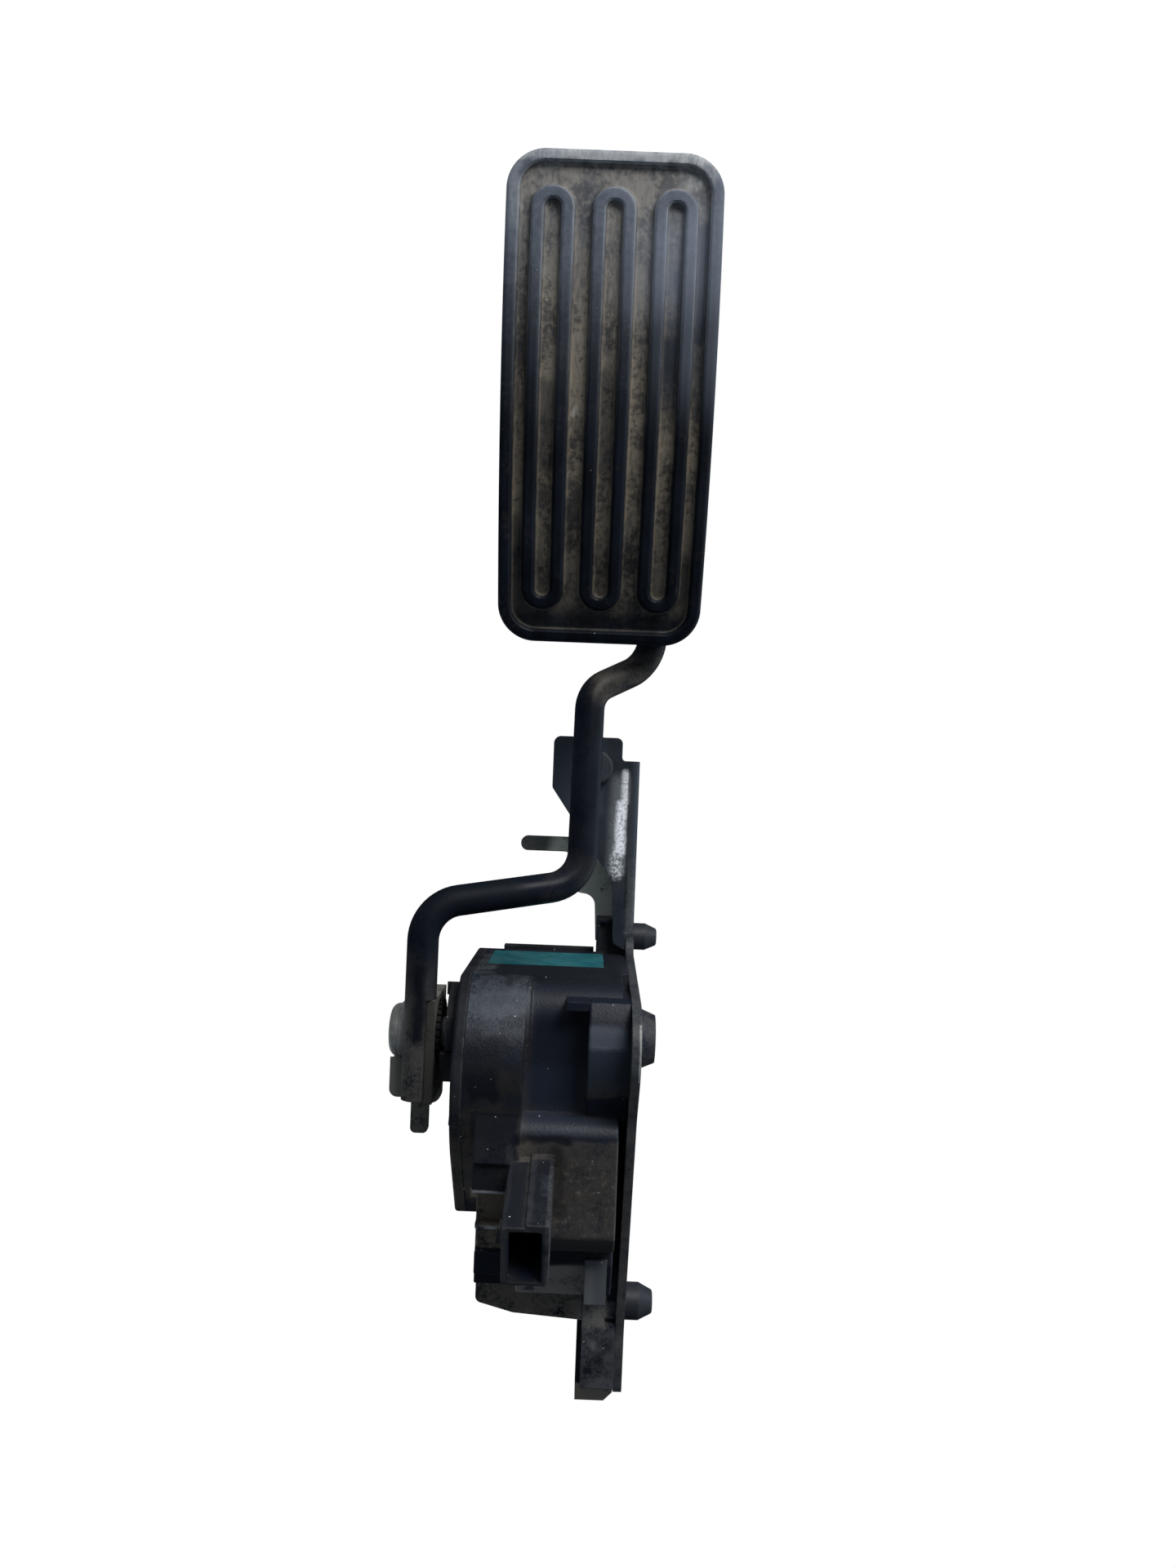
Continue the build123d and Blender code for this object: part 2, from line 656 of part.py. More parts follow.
# Sensor housing: drum, stepped boxes, bearing boss, ears with locating pins and the connector shroud
with BuildPart() as sensor_housing:
    with BuildSketch(Plane.YZ.offset(drum_x0)):
        add(drum_outline.sketch)
    extrude(amount=drum_x1 - drum_x0)
    with BuildSketch(Plane.YZ.offset(box_x0)):
        with BuildLine():
            FilletPolyline(
                (box_front_y, face_z),
                (back_y, face_z),
                (back_y, ledge_z + wall),
                (box_front_y, ledge_z + wall),
                radius=[box_round_r, 1, 0, 0],
                close=True,
            )
        make_face()
    extrude(amount=drum_x0 - box_x0)
    add(nose_form.part)
    add(rear_form.part)
    add(step_form.part)
    with Locations((plate_t, seat_front_y, face_z)):
        Box(box_x0 - plate_t, back_y - seat_front_y, slope_high_z - face_z, align=Align.MIN)
    add(boss_form.part)
    with Locations((boss_x1, rib_front_y, boss_low_z)):
        Box(rib_x1 - boss_x1, -rib_front_y, rib_t, align=Align.MIN)
    with Locations((plate_t, ear_mid_y, ear_rib_z1)):
        Box(ear_x1 - plate_t, ear_back_y - ear_mid_y, ear_high_z - ear_rib_z1, align=Align.MIN)
    ear_end_edges = sensor_housing.edges().filter_by(Axis.Y).group_by(Axis.Z)[-1]
    chamfer(ear_end_edges.sort_by(Axis.X)[0], length=ear_corner)
    with Locations((plate_t, ear_front_y, ear_rib_z1)):
        Box(ear_face_x1 - plate_t, ear_mid_y - ear_front_y, ear_face_z - ear_rib_z1, align=Align.MIN)
    with Locations((plate_t, ear_front_y, ear_slot_z)):
        Box(2 * ear_slot_w, ear_slot_w, ear_slot_h, mode=Mode.SUBTRACT)
    with Locations((ear_rib_x0, ear_rib_front_y, ear_rib_z0)):
        Box(ear_face_x1 - ear_rib_x0, ear_mid_y - ear_rib_front_y, ear_rib_z1 - ear_rib_z0, align=Align.MIN)
    with Locations((plate_t, channel_front_y + plate_t + ear_gap, low_ear_z)):
        Box(
            low_ear_x1 - plate_t,
            rear_flange_y - channel_front_y - plate_t - 2 * ear_gap,
            face_z + wall - low_ear_z,
            align=Align.MIN,
        )
    with Locations((plate_t, channel_front_y + plate_t + ear_gap, low_ear_z + low_ear_rim)):
        Box(
            low_ear_x1 - plate_t - low_ear_rim,
            low_ear_recess,
            face_z - low_ear_z - low_ear_rim,
            align=Align.MIN,
            mode=Mode.SUBTRACT,
        )
    with Locations(Location((cone_tip_x, 0, 0), (0, 90, 0))):
        Cone(cone_tip_r, cone_base_r, -cone_tip_x, align=from_base)
    with Locations(Location((0, 0, 0), (0, 90, 0))):
        Cylinder(cone_base_r, plate_t + wall, align=from_base)
    with Locations(Location((0, low_pin_y, low_pin_z), (0, 90, 0))):
        Cylinder(low_pin_r + pin_shoulder, plate_t, align=from_base)
    with Locations(Location((0, high_pin_y, high_pin_z), (0, 90, 0))):
        Cylinder(high_pin_r + pin_shoulder, plate_t, align=from_base)
    with Locations(Location((low_pin_tip_x, low_pin_y, low_pin_z), (0, 90, 0))):
        Cone(low_pin_r * pin_taper, low_pin_r, -low_pin_tip_x / 2, align=from_base)
    with Locations(Location((low_pin_tip_x / 2, low_pin_y, low_pin_z), (0, 90, 0))):
        Cylinder(low_pin_r, plate_t - low_pin_tip_x / 2, align=from_base)
    with Locations(Location((high_pin_tip_x, high_pin_y, high_pin_z), (0, 90, 0))):
        Cone(high_pin_r * pin_taper, high_pin_r, -high_pin_tip_x / 2, align=from_base)
    with Locations(Location((high_pin_tip_x / 2, high_pin_y, high_pin_z), (0, 90, 0))):
        Cylinder(high_pin_r, plate_t - high_pin_tip_x / 2, align=from_base)
    pin_tips = sensor_housing.edges().group_by(Axis.X)
    fillet(pin_tips[0] + pin_tips[1], radius=pin_round)
    add(plug_form.part)
    with BuildSketch(plug_plane):
        with Locations((latch_shift, plug_h / 2)):
            Rectangle(latch_w, latch_w)
    extrude(amount=-latch_w)
    with BuildSketch(plug_plane.offset(-clip_back)):
        with Locations((plug_w / 2, -clip_up)):
            Rectangle(clip_w, clip_h)
        with Locations((plug_w / 2, -clip_up + clip_h / 2)):
            Rectangle(2 * clip_w, clip_w)
    extrude(amount=-clip_len)

    with BuildSketch(Plane.YZ.offset(drum_x0 + divider_t)):
        add(drum_room.sketch)
    extrude(amount=drum_x1, mode=Mode.SUBTRACT)
    with Locations((drum_x0 + divider_t, rotor_arm_w / 2 + stop_gap, magnet_z - 4)):
        Box(stop_h, 5, 10, align=Align.MIN)
    with Locations((chamber_x0, chamber_front_y, chamber_low_z)):
        Box(
            drum_x0 - chamber_x0,
            back_y - chamber_front_y,
            chamber_high_z - chamber_low_z,
            align=Align.MIN,
            mode=Mode.SUBTRACT,
        )
    with Locations((pocket_x0, pocket_front_y, face_z + wall)):
        Box(
            drum_x0 - wall - pocket_x0,
            back_y - pocket_front_y,
            chamber_low_z - face_z - 2 * wall,
            align=Align.MIN,
            mode=Mode.SUBTRACT,
        )
    with Locations(*[(board_x + board_t, y, z) for y in board_post_y for z in board_post_z]):
        Box(drum_x0 - board_x - board_t, 3, 3, align=(Align.MIN, Align.CENTER, Align.CENTER))
    with BuildSketch(plug_plane):
        RectangleRounded(plug_w - 2 * plug_side_wall, plug_h - 2 * plug_wall, 0.8)
    extrude(amount=-plug_depth, mode=Mode.SUBTRACT)
    with BuildSketch(plug_plane.offset(-plug_depth)):
        with GridLocations(0, pin_pitch, 1, pin_count):
            Rectangle(pin_w, pin_w)
    extrude(amount=-pin_seat, mode=Mode.SUBTRACT)
    with Locations(Location((shaft_inner_end_x - 0.6, 0, 0), (0, 90, 0))):
        Cylinder(shaft_r + shaft_room, drum_x1, align=from_base, mode=Mode.SUBTRACT)
    with Locations(Location((plate_t, 0, 0), (0, 90, 0))):
        Cylinder(bush_r, bush_len, align=from_base, mode=Mode.SUBTRACT)
    with Locations(*[Location((x, back_y, z), (90, 0, 0)) for x, z in screw_places]):
        Cylinder(screw_r, screw_len, align=from_base, mode=Mode.SUBTRACT)
sensor_housing.part.label = "sensor_housing"
export_step(sensor_housing.part, "parts/sensor_housing.step")

# Cover closing the drum
with BuildPart() as drum_cover:
    with BuildSketch(Plane.YZ.offset(drum_x1)):
        add(drum_outline.sketch)
    extrude(amount=cover_t)
    fillet(drum_cover.faces().sort_by(Axis.X)[-1].outer_wire().edges(), radius=cover_edge_r)
    with BuildSketch(Plane.YZ.offset(cover_x1)):
        with PolarLocations(collar_r + cover_rib_len / 2, cover_rib_count, start_angle=5, angular_range=145):
            SlotOverall(cover_rib_len, cover_rib_w)
    extrude(amount=cover_rib_h)
    with Locations(Location((drum_x1, 0, 0), (0, 90, 0))):
        Cylinder(bush_r, 4 * cover_t, mode=Mode.SUBTRACT)
drum_cover.part.label = "drum_cover"
export_step(drum_cover.part, "parts/drum_cover.step")

# Split collar round the shaft, standing on the cover
with BuildPart() as hub_collar:
    with BuildSketch(Plane.YZ.offset(cover_x1)):
        Circle(collar_r)
        Circle(collar_bore_r, mode=Mode.SUBTRACT)
        with Locations((-collar_r, collar_slit_z)):
            Rectangle(collar_r, collar_slit, mode=Mode.SUBTRACT)
    extrude(amount=collar_len)
    with Locations((cover_x1 + collar_short_len, -collar_r, collar_slit_z)):
        Box(
            collar_len,
            2 * collar_r,
            2 * collar_r,
            align=(Align.MIN, Align.CENTER, Align.MAX),
            mode=Mode.SUBTRACT,
        )
hub_collar.part.label = "hub_collar"
export_step(hub_collar.part, "parts/hub_collar.step")

# Rubber seal inside the collar
with BuildPart() as shaft_seal:
    with BuildSketch(Plane.YZ.offset(cover_x1)):
        Circle(collar_bore_r)
        Circle(shaft_r + seal_gap, mode=Mode.SUBTRACT)
    extrude(amount=seal_t)
shaft_seal.part.label = "shaft_seal"
export_step(shaft_seal.part, "parts/shaft_seal.step")

# Bearing bushes
with BuildPart() as outer_bush:
    with BuildSketch(Plane.YZ.offset(drum_x1)):
        Circle(bush_r)
        Circle(shaft_r + running_gap, mode=Mode.SUBTRACT)
    extrude(amount=cover_t)
outer_bush.part.label = "outer_bush"
export_step(outer_bush.part, "parts/outer_bush.step")

with BuildPart() as inner_bush:
    with BuildSketch(Plane.YZ.offset(plate_t)):
        Circle(bush_r)
        Circle(shaft_r + running_gap, mode=Mode.SUBTRACT)
    extrude(amount=bush_len)
inner_bush.part.label = "inner_bush"
export_step(inner_bush.part, "parts/inner_bush.step")

# Rotor on the shaft, with a magnet at the end of its arm
with BuildPart() as rotor:
    with Locations(Location((rotor_x0, 0, 0), (0, 90, 0))):
        Cylinder(hub_r, hub_x1 - rotor_x0, align=from_base)
    with BuildSketch(Plane.YZ.offset(rotor_x0)):
        with Locations((0, magnet_z / 2)):
            SlotCenterToCenter(magnet_z, rotor_arm_w, rotation=90)
    extrude(amount=rotor_arm_t)
    with Locations(Location((rotor_x0, 0, magnet_z), (0, 90, 0))):
        Cylinder(magnet_r, 4 * rotor_arm_t, mode=Mode.SUBTRACT)
    with Locations(Location((rotor_x0, 0, 0), (0, 90, 0))):
        Cylinder(shaft_r, 4 * hub_x1, mode=Mode.SUBTRACT)
rotor.part.label = "rotor"
export_step(rotor.part, "parts/rotor.step")

with BuildPart() as rotor_magnet:
    with Locations(Location((rotor_x0, 0, magnet_z), (0, 90, 0))):
        Cylinder(magnet_r, magnet_t, align=from_base)
rotor_magnet.part.label = "rotor_magnet"
export_step(rotor_magnet.part, "parts/rotor_magnet.step")

# Friction washer between the rotor and the housing
with BuildPart() as friction_washer:
    with BuildSketch(Plane.YZ.offset(drum_x0 + divider_t)):
        Circle(hub_r)
        Circle(shaft_r + shaft_room, mode=Mode.SUBTRACT)
    extrude(amount=rotor_gap - running_gap)
friction_washer.part.label = "friction_washer"
export_step(friction_washer.part, "parts/friction_washer.step")

# Pair of return springs round the rotor hub
with BuildPart() as outer_spring:
    with BuildLine() as outer_coil:
        Helix(
            outer_pitch,
            outer_pitch * coil_turns,
            outer_coil_r,
            center=(outer_coil_x, 0, 0),
            direction=(1, 0, 0),
        )
    with BuildSketch(Plane(origin=outer_coil.line @ 0, z_dir=outer_coil.line % 0)):
        Circle(outer_wire_r)
    sweep(path=outer_coil.line)
outer_spring.part.label = "outer_spring"
export_step(outer_spring.part, "parts/outer_spring.step")

with BuildPart() as inner_spring:
    with BuildLine() as inner_coil:
        Helix(
            inner_pitch,
            inner_pitch * coil_turns,
            inner_coil_r,
            center=(inner_coil_x, 0, 0),
            direction=(1, 0, 0),
        )
    with BuildSketch(Plane(origin=inner_coil.line @ 0, z_dir=inner_coil.line % 0)):
        Circle(inner_wire_r)
    sweep(path=inner_coil.line)
inner_spring.part.label = "inner_spring"
export_step(inner_spring.part, "parts/inner_spring.step")

# Circuit board with two field sensors and a signal chip
with BuildPart() as circuit_board:
    with Locations((board_x, chamber_front_y + board_gap, chamber_low_z + board_gap)):
        Box(
            board_t,
            back_y - chamber_front_y - 2 * board_gap,
            chamber_high_z - chamber_low_z - 2 * board_gap,
            align=Align.MIN,
        )
circuit_board.part.label = "circuit_board"
export_step(circuit_board.part, "parts/circuit_board.step")

with BuildPart() as field_sensor_a:
    with Locations((board_x + board_t, -sensor_pitch / 2, magnet_z)):
        Box(sensor_t, sensor_w, sensor_w, align=(Align.MIN, Align.CENTER, Align.CENTER))
field_sensor_a.part.label = "field_sensor_a"
export_step(field_sensor_a.part, "parts/field_sensor_a.step")

with BuildPart() as field_sensor_b:
    with Locations((board_x + board_t, sensor_pitch / 2, magnet_z)):
        Box(sensor_t, sensor_w, sensor_w, align=(Align.MIN, Align.CENTER, Align.CENTER))
field_sensor_b.part.label = "field_sensor_b"
export_step(field_sensor_b.part, "parts/field_sensor_b.step")

with BuildPart() as signal_chip:
    with Locations((board_x, back_y / 2, (chamber_low_z + chamber_high_z) / 2)):
        Box(sensor_t, 2 * sensor_w, 2 * sensor_w, align=(Align.MAX, Align.CENTER, Align.CENTER))
signal_chip.part.label = "signal_chip"
export_step(signal_chip.part, "parts/signal_chip.step")

# Row of contact pins in the connector
pin_places = [pin_pitch * (n - (pin_count - 1) / 2) for n in range(pin_count)]
for n, place in enumerate(pin_places):
    with BuildPart() as contact_pin:
        with BuildSketch(plug_plane.offset(-plug_depth - pin_seat)):
            with Locations((0, place)):
                Rectangle(pin_w, pin_w)
        extrude(amount=pin_len + pin_seat)
    contact_pin.part.label = f"contact_pin_{n + 1}"
    export_step(contact_pin.part, f"parts/contact_pin_{n + 1}.step")

# Rear cover over the sensor chamber
with BuildPart() as rear_cover:
    with Locations((rear_cover_x0, back_y, rear_cover_low_z)):
        Box(
            rear_cover_x1 - rear_cover_x0,
            rear_cover_t,
            rear_cover_high_z - rear_cover_low_z,
            align=Align.MIN,
        )
    fillet(rear_cover.edges().group_by(Axis.Y)[-1], radius=1.5)
    with Locations((rear_cover_x0 + 3 * wall, back_y, chamber_low_z + 2)):
        Box(
            drum_x0 - rear_cover_x0 - 4 * wall,
            rear_cover_t - wall,
            chamber_high_z - chamber_low_z - 4,
            align=Align.MIN,
            mode=Mode.SUBTRACT,
        )
    rear_mid = ((rear_cover_x0 + rear_cover_x1) / 2, (chamber_low_z + chamber_high_z) / 2)
    with BuildSketch(Plane.XZ.offset(-back_y - rear_cover_t)):
        with Locations(rear_mid):
            with GridLocations(rear_bead_pitch, 0, 2, 1):
                SlotOverall(rear_bead_len, rear_bead_w, rotation=90)
    extrude(amount=-rear_bead_h)
    with Locations(*[Location((x, back_y, z), (90, 0, 0)) for x, z in screw_places]):
        Cylinder(screw_r + hole_gap, 4 * rear_cover_t, mode=Mode.SUBTRACT)
rear_cover.part.label = "rear_cover"
export_step(rear_cover.part, "parts/rear_cover.step")

# Screws of the rear cover
for n, (x, z) in enumerate(screw_places):
    with BuildPart() as cover_screw:
        with Locations(Location((x, back_y + rear_cover_t, z), (90, 0, 0))):
            Cylinder(screw_r, rear_cover_t + screw_len, align=from_base)
        with Locations(Location((x, back_y + rear_cover_t, z), (-90, 0, 0))):
            Cylinder(screw_head_r, screw_head_h, align=from_base)
        fillet(cover_screw.edges().group_by(Axis.Y)[-1], radius=1.2)
    cover_screw.part.label = f"cover_screw_{n + 1}"
    export_step(cover_screw.part, f"parts/cover_screw_{n + 1}.step")

# Blank label on the underside of the housing
with BuildPart() as blank_label:
    with Locations((label_x0, label_y0, face_z)):
        Box(
            drum_x1 - label_gap - label_x0,
            label_y1 - label_y0,
            label_t,
            align=(Align.MIN, Align.MIN, Align.MAX),
        )
blank_label.part.label = "blank_label"
export_step(blank_label.part, "parts/blank_label.step")
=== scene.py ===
import bpy
import math
import numpy as np
from mathutils import Matrix, Vector


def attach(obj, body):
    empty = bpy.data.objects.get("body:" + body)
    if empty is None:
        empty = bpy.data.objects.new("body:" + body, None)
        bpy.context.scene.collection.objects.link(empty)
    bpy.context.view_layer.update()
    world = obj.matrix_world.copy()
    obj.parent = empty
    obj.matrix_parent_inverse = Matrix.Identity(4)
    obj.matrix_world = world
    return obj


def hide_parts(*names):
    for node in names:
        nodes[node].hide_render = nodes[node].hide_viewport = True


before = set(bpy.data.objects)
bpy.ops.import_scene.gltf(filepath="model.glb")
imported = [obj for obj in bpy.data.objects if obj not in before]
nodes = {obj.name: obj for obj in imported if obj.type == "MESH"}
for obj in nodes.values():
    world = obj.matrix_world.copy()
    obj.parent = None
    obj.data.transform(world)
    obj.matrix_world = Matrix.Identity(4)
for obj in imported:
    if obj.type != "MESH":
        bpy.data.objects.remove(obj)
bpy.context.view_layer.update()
scene = bpy.context.scene
mm = 0.001  # in metres
print("frame loaded:", len(nodes), "nodes")

# Camera at the photograph's angle: it looks along +Y with the pad at the top of the picture
photoCamera = {"lens": 27.0, "sensor": 36.0, "clip": 0.01, "place": (0.017, -0.345, -0.074), "roll": 2.2}


def setCamera(look):
    turn = math.radians(look["roll"])
    lens = bpy.data.cameras.new("photoCamera")
    lens.lens = look["lens"]
    lens.sensor_width = look["sensor"]
    lens.sensor_fit = "AUTO"
    lens.clip_start = look["clip"]
    right = Vector((-math.cos(turn), 0, -math.sin(turn)))
    up = Vector((math.sin(turn), 0, -math.cos(turn)))
    back = Vector((0, -1, 0))
    eye = bpy.data.objects.new("photoCamera", lens)
    eye.matrix_world = Matrix((right, up, back)).transposed().to_4x4()
    eye.matrix_world.translation = look["place"]
    scene.collection.objects.link(eye)
    scene.camera = eye


setCamera(photoCamera)
scene.view_settings.view_transform = "Standard"
print("camera placed")


# Small helpers for shader trees
def feed(tree, value, socket):
    if isinstance(value, bpy.types.NodeSocket):
        tree.links.new(value, socket)
    else:
        socket.default_value = value


def put(tree, kind, links=None, **settings):
    # links go to inputs by name or by number
    item = tree.nodes.new("ShaderNode" + kind)
    for name, value in settings.items():
        setattr(item, name, value)
    for name, value in (links or {}).items():
        feed(tree, value, item.inputs[name])
    return item


def emptyTree(owner):
    owner.use_nodes = True
    owner.node_tree.nodes.clear()
    return owner.node_tree


def calc(tree, how, first, second=0.0, clamp=False):
    return put(tree, "Math", {0: first, 1: second}, operation=how, use_clamp=clamp).outputs[0]


def times(tree, first, *others):
    for other in others:
        first = calc(tree, "MULTIPLY", first, other)
    return first


def calcVector(tree, how, first, second=(0.0, 0.0, 0.0)):
    # a dot product and a length come out as a number
    out = put(tree, "VectorMath", {0: first, 1: second}, operation=how).outputs
    return out["Value" if how in ("DOT_PRODUCT", "LENGTH") else "Vector"]


def ease(tree, value, low, high, start=0.0, end=1.0):
    # smooth step from start to end as the value goes from low to high
    links = {"Value": value, "From Min": low, "From Max": high, "To Min": start, "To Max": end}
    return put(tree, "MapRange", links, interpolation_type="SMOOTHSTEP").outputs["Result"]


def blendTone(tree, share, under, over):
    return put(tree, "Mix", {0: share, 6: under, 7: over}, data_type="RGBA").outputs[2]


def blendValue(tree, share, under, over):
    return put(tree, "Mix", {0: share, 2: under, 3: over}, data_type="FLOAT").outputs[0]


def cloud(tree, place, scale, detail, rough):
    links = {"Vector": place, "Scale": scale, "Detail": detail, "Roughness": rough}
    return put(tree, "TexNoise", links).outputs["Fac"]


def tone(red, green, blue):
    # screen values 0-255 to linear light
    raw = np.array((red, green, blue)) / 255
    line = np.where(raw <= 0.04045, raw / 12.92, ((raw + 0.055) / 1.055) ** 2.4)
    return (*line.tolist(), 1.0)


def groupTree(name, inputs, outputs):
    tree = bpy.data.node_groups.new(name, "ShaderNodeTree")
    for way, sockets in (("INPUT", inputs), ("OUTPUT", outputs)):
        for label, kind in sockets.items():
            tree.interface.new_socket(name=label, in_out=way, socket_type="NodeSocket" + kind)
    return tree, tree.nodes.new("NodeGroupInput").outputs, tree.nodes.new("NodeGroupOutput").inputs


def useGroup(tree, group, links):
    item = tree.nodes.new("ShaderNodeGroup")
    item.node_tree = group
    for name, value in links.items():
        feed(tree, value, item.inputs[name])
    return item.outputs


# Shared effects, each built once: first its own settings, then the group
grainMix = {"detail": 3.0, "rough": 0.6, "swell": 0.18, "swellDetail": 2.0, "swellRough": 0.55,
            "swellShare": 0.35}


def makeGrain(look):
    # fine moulded grain over a slower orange-peel swell
    tree, given, out = groupTree("mouldGrain", {"Place": "Vector", "Fineness": "Float"}, {"Height": "Float"})
    place, slower = given["Place"], times(tree, given["Fineness"], look["swell"])
    fine = cloud(tree, place, given["Fineness"], look["detail"], look["rough"])
    slow = cloud(tree, place, slower, look["swellDetail"], look["swellRough"])
    feed(tree, blendValue(tree, look["swellShare"], fine, slow), out["Height"])
    return tree


dustMix = {"detail": 4.0, "rough": 0.62, "finer": 9.0, "fineDetail": 3.0, "fineRough": 0.65,
           "fineShare": 0.42, "low": 0.32, "gain": 2.8}


def makeDust(look):
    # dust clouds: a broad cloud broken by a fine one, spread so that most of it lies between 0 and 1
    tree, given, out = groupTree("dustCloud", {"Place": "Vector", "Blotch": "Float"}, {"Spread": "Float"})
    place, finer = given["Place"], times(tree, given["Blotch"], look["finer"])
    broad = cloud(tree, place, given["Blotch"], look["detail"], look["rough"])
    fine = cloud(tree, place, finer, look["fineDetail"], look["fineRough"])
    mixed = blendValue(tree, look["fineShare"], broad, fine)
    feed(tree, times(tree, calc(tree, "SUBTRACT", mixed, look["low"]), look["gain"]), out["Spread"])
    return tree


speckMix = {"least": 0.25, "core": 0.55}


def makeSpecks(look):
    # pale crumbs: one dot in some cells of a cell pattern
    inputs = {"Place": "Vector", "Cells": "Float", "Size": "Float", "Share": "Float"}
    tree, given, out = groupTree("paleSpecks", inputs, {"Mask": "Float"})
    cells = put(tree, "TexVoronoi", {"Vector": given["Place"], "Scale": given["Cells"]}, feature="F1").outputs
    parts = put(tree, "SeparateColor", {"Color": cells["Color"]}).outputs
    reach = times(tree, given["Size"], calc(tree, "ADD", parts["Green"], look["least"]))
    dot = ease(tree, cells["Distance"], reach, times(tree, reach, look["core"]))
    there = calc(tree, "LESS_THAN", parts["Red"], given["Share"])
    feed(tree, times(tree, dot, there), out["Mask"])
    return tree


wearMix = {"samples": 3, "flat": 0.995, "sharp": 0.86, "breakup": 260.0, "detail": 5.0, "rough": 0.62,
           "below": 0.12, "above": 0.1}


def makeEdgeWear(look):
    # edges found by how far a rounded normal leaves the true one, broken up by a cloud
    inputs = {"Place": "Vector", "Radius": "Float", "Bare": "Float"}
    tree, given, out = groupTree("edgeWear", inputs, {"Mask": "Float", "Normal": "Vector"})
    soft = put(tree, "Bevel", {"Radius": given["Radius"]}, samples=look["samples"]).outputs["Normal"]
    true = put(tree, "NewGeometry").outputs["Normal"]
    edge = ease(tree, calcVector(tree, "DOT_PRODUCT", soft, true), look["flat"], look["sharp"])
    rough = cloud(tree, given["Place"], look["breakup"], look["detail"], look["rough"])
    cut = calc(tree, "SUBTRACT", 1.0, given["Bare"])
    low, high = calc(tree, "SUBTRACT", cut, look["below"]), calc(tree, "ADD", cut, look["above"])
    feed(tree, times(tree, edge, ease(tree, rough, low, high)), out["Mask"])
    feed(tree, soft, out["Normal"])
    return tree


patchMix = {"push": 4.0, "wander": 140.0, "wanderDetail": 4.0}


def makePatch(look):
    # soft-edged rounded box in the part's own space, its edge pushed about by a cloud
    inputs = {"Place": "Vector", "Push": "Vector", "Centre": "Vector", "Half": "Vector",
              "Soft": "Float", "Ragged": "Float"}
    tree, given, out = groupTree("softPatch", inputs, {"Mask": "Float"})
    links = {0: given["Push"], "Scale": times(tree, given["Ragged"], look["push"])}
    push = put(tree, "VectorMath", links, operation="SCALE").outputs["Vector"]
    moved = calcVector(tree, "ADD", given["Place"], push)
    size = calcVector(tree, "ABSOLUTE", calcVector(tree, "SUBTRACT", moved, given["Centre"]))
    over = calcVector(tree, "MAXIMUM", calcVector(tree, "SUBTRACT", size, given["Half"]))
    feed(tree, ease(tree, calcVector(tree, "LENGTH", over), given["Soft"], 0.0), out["Mask"])
    return tree


creaseMix = {"samples": 2, "open": 0.92, "shut": 0.45}


def makeCrease(look):
    # corners and folds, found by how much of the sky near the surface is closed off; the colour laid there is
    # dust on some finishes and painted shade on others
    tree, given, out = groupTree("creaseDustAndShade", {"Reach": "Float"}, {"Mask": "Float"})
    links = {"Distance": given["Reach"]}
    sky = put(tree, "AmbientOcclusion", links, samples=look["samples"], only_local=True).outputs["AO"]
    feed(tree, ease(tree, sky, look["open"], look["shut"]), out["Mask"])
    return tree


mouldGrain = makeGrain(grainMix)
dustCloud = makeDust(dustMix)
paleSpecks = makeSpecks(speckMix)
edgeWear = makeEdgeWear(wearMix)
softPatch = makePatch(patchMix)
creaseDustAndShade = makeCrease(creaseMix)
print("shared effects ready")


def wander(tree, place, look=patchMix):
    # the cloud that pushes a patch's edge either way
    links = {"Vector": place, "Scale": look["wander"], "Detail": look["wanderDetail"]}
    return calcVector(tree, "SUBTRACT", put(tree, "TexNoise", links).outputs["Color"], (0.5, 0.5, 0.5))


def patchMask(tree, place, push, centre, half, soft, ragged):
    # how much of a soft patch covers each point, its sizes in mm
    links = {"Place": place, "Push": push, "Soft": soft * mm, "Ragged": ragged * mm,
             "Centre": [value * mm for value in centre], "Half": [value * mm for value in half]}
    return useGroup(tree, softPatch, links)["Mask"]


def makeMesh(name, points, faces):
    mesh = bpy.data.meshes.new(name)
    mesh.from_pydata(points.tolist(), [], faces.tolist())
    mesh.update()
    thing = bpy.data.objects.new(name, mesh)
    scene.collection.objects.link(thing)
    return thing


def gridFaces(rows, columns):
    # quads between neighbouring rows and columns of a grid of points
    index = np.arange(rows * columns).reshape(rows, columns)
    return np.stack((index[:-1, :-1], index[:-1, 1:], index[1:, 1:], index[1:, :-1]), -1).reshape(-1, 4)


# What a finish and its layers have where a piece's own look says nothing else
plainLook = {
    "swayScale": 60.0, "swayDetail": 5.0, "swayRough": 0.6, "swayRamp": (0.36, 0.66), "roughRise": 0.1,
    "fineness": 1500.0, "bump": 0.25, "bumpDepth": 0.4, "metal": 0.0, "gloss": 0.3,
    "creaseCover": 0.62, "creaseRough": 0.9, "wearRadius": 0.5, "wearRough": 0.5, "speckStrength": 0.75,
}
plainLayer = {"blotch": 120.0, "edge": 0.3, "rough": 0.82, "faceRamp": (0.35, 0.7)}
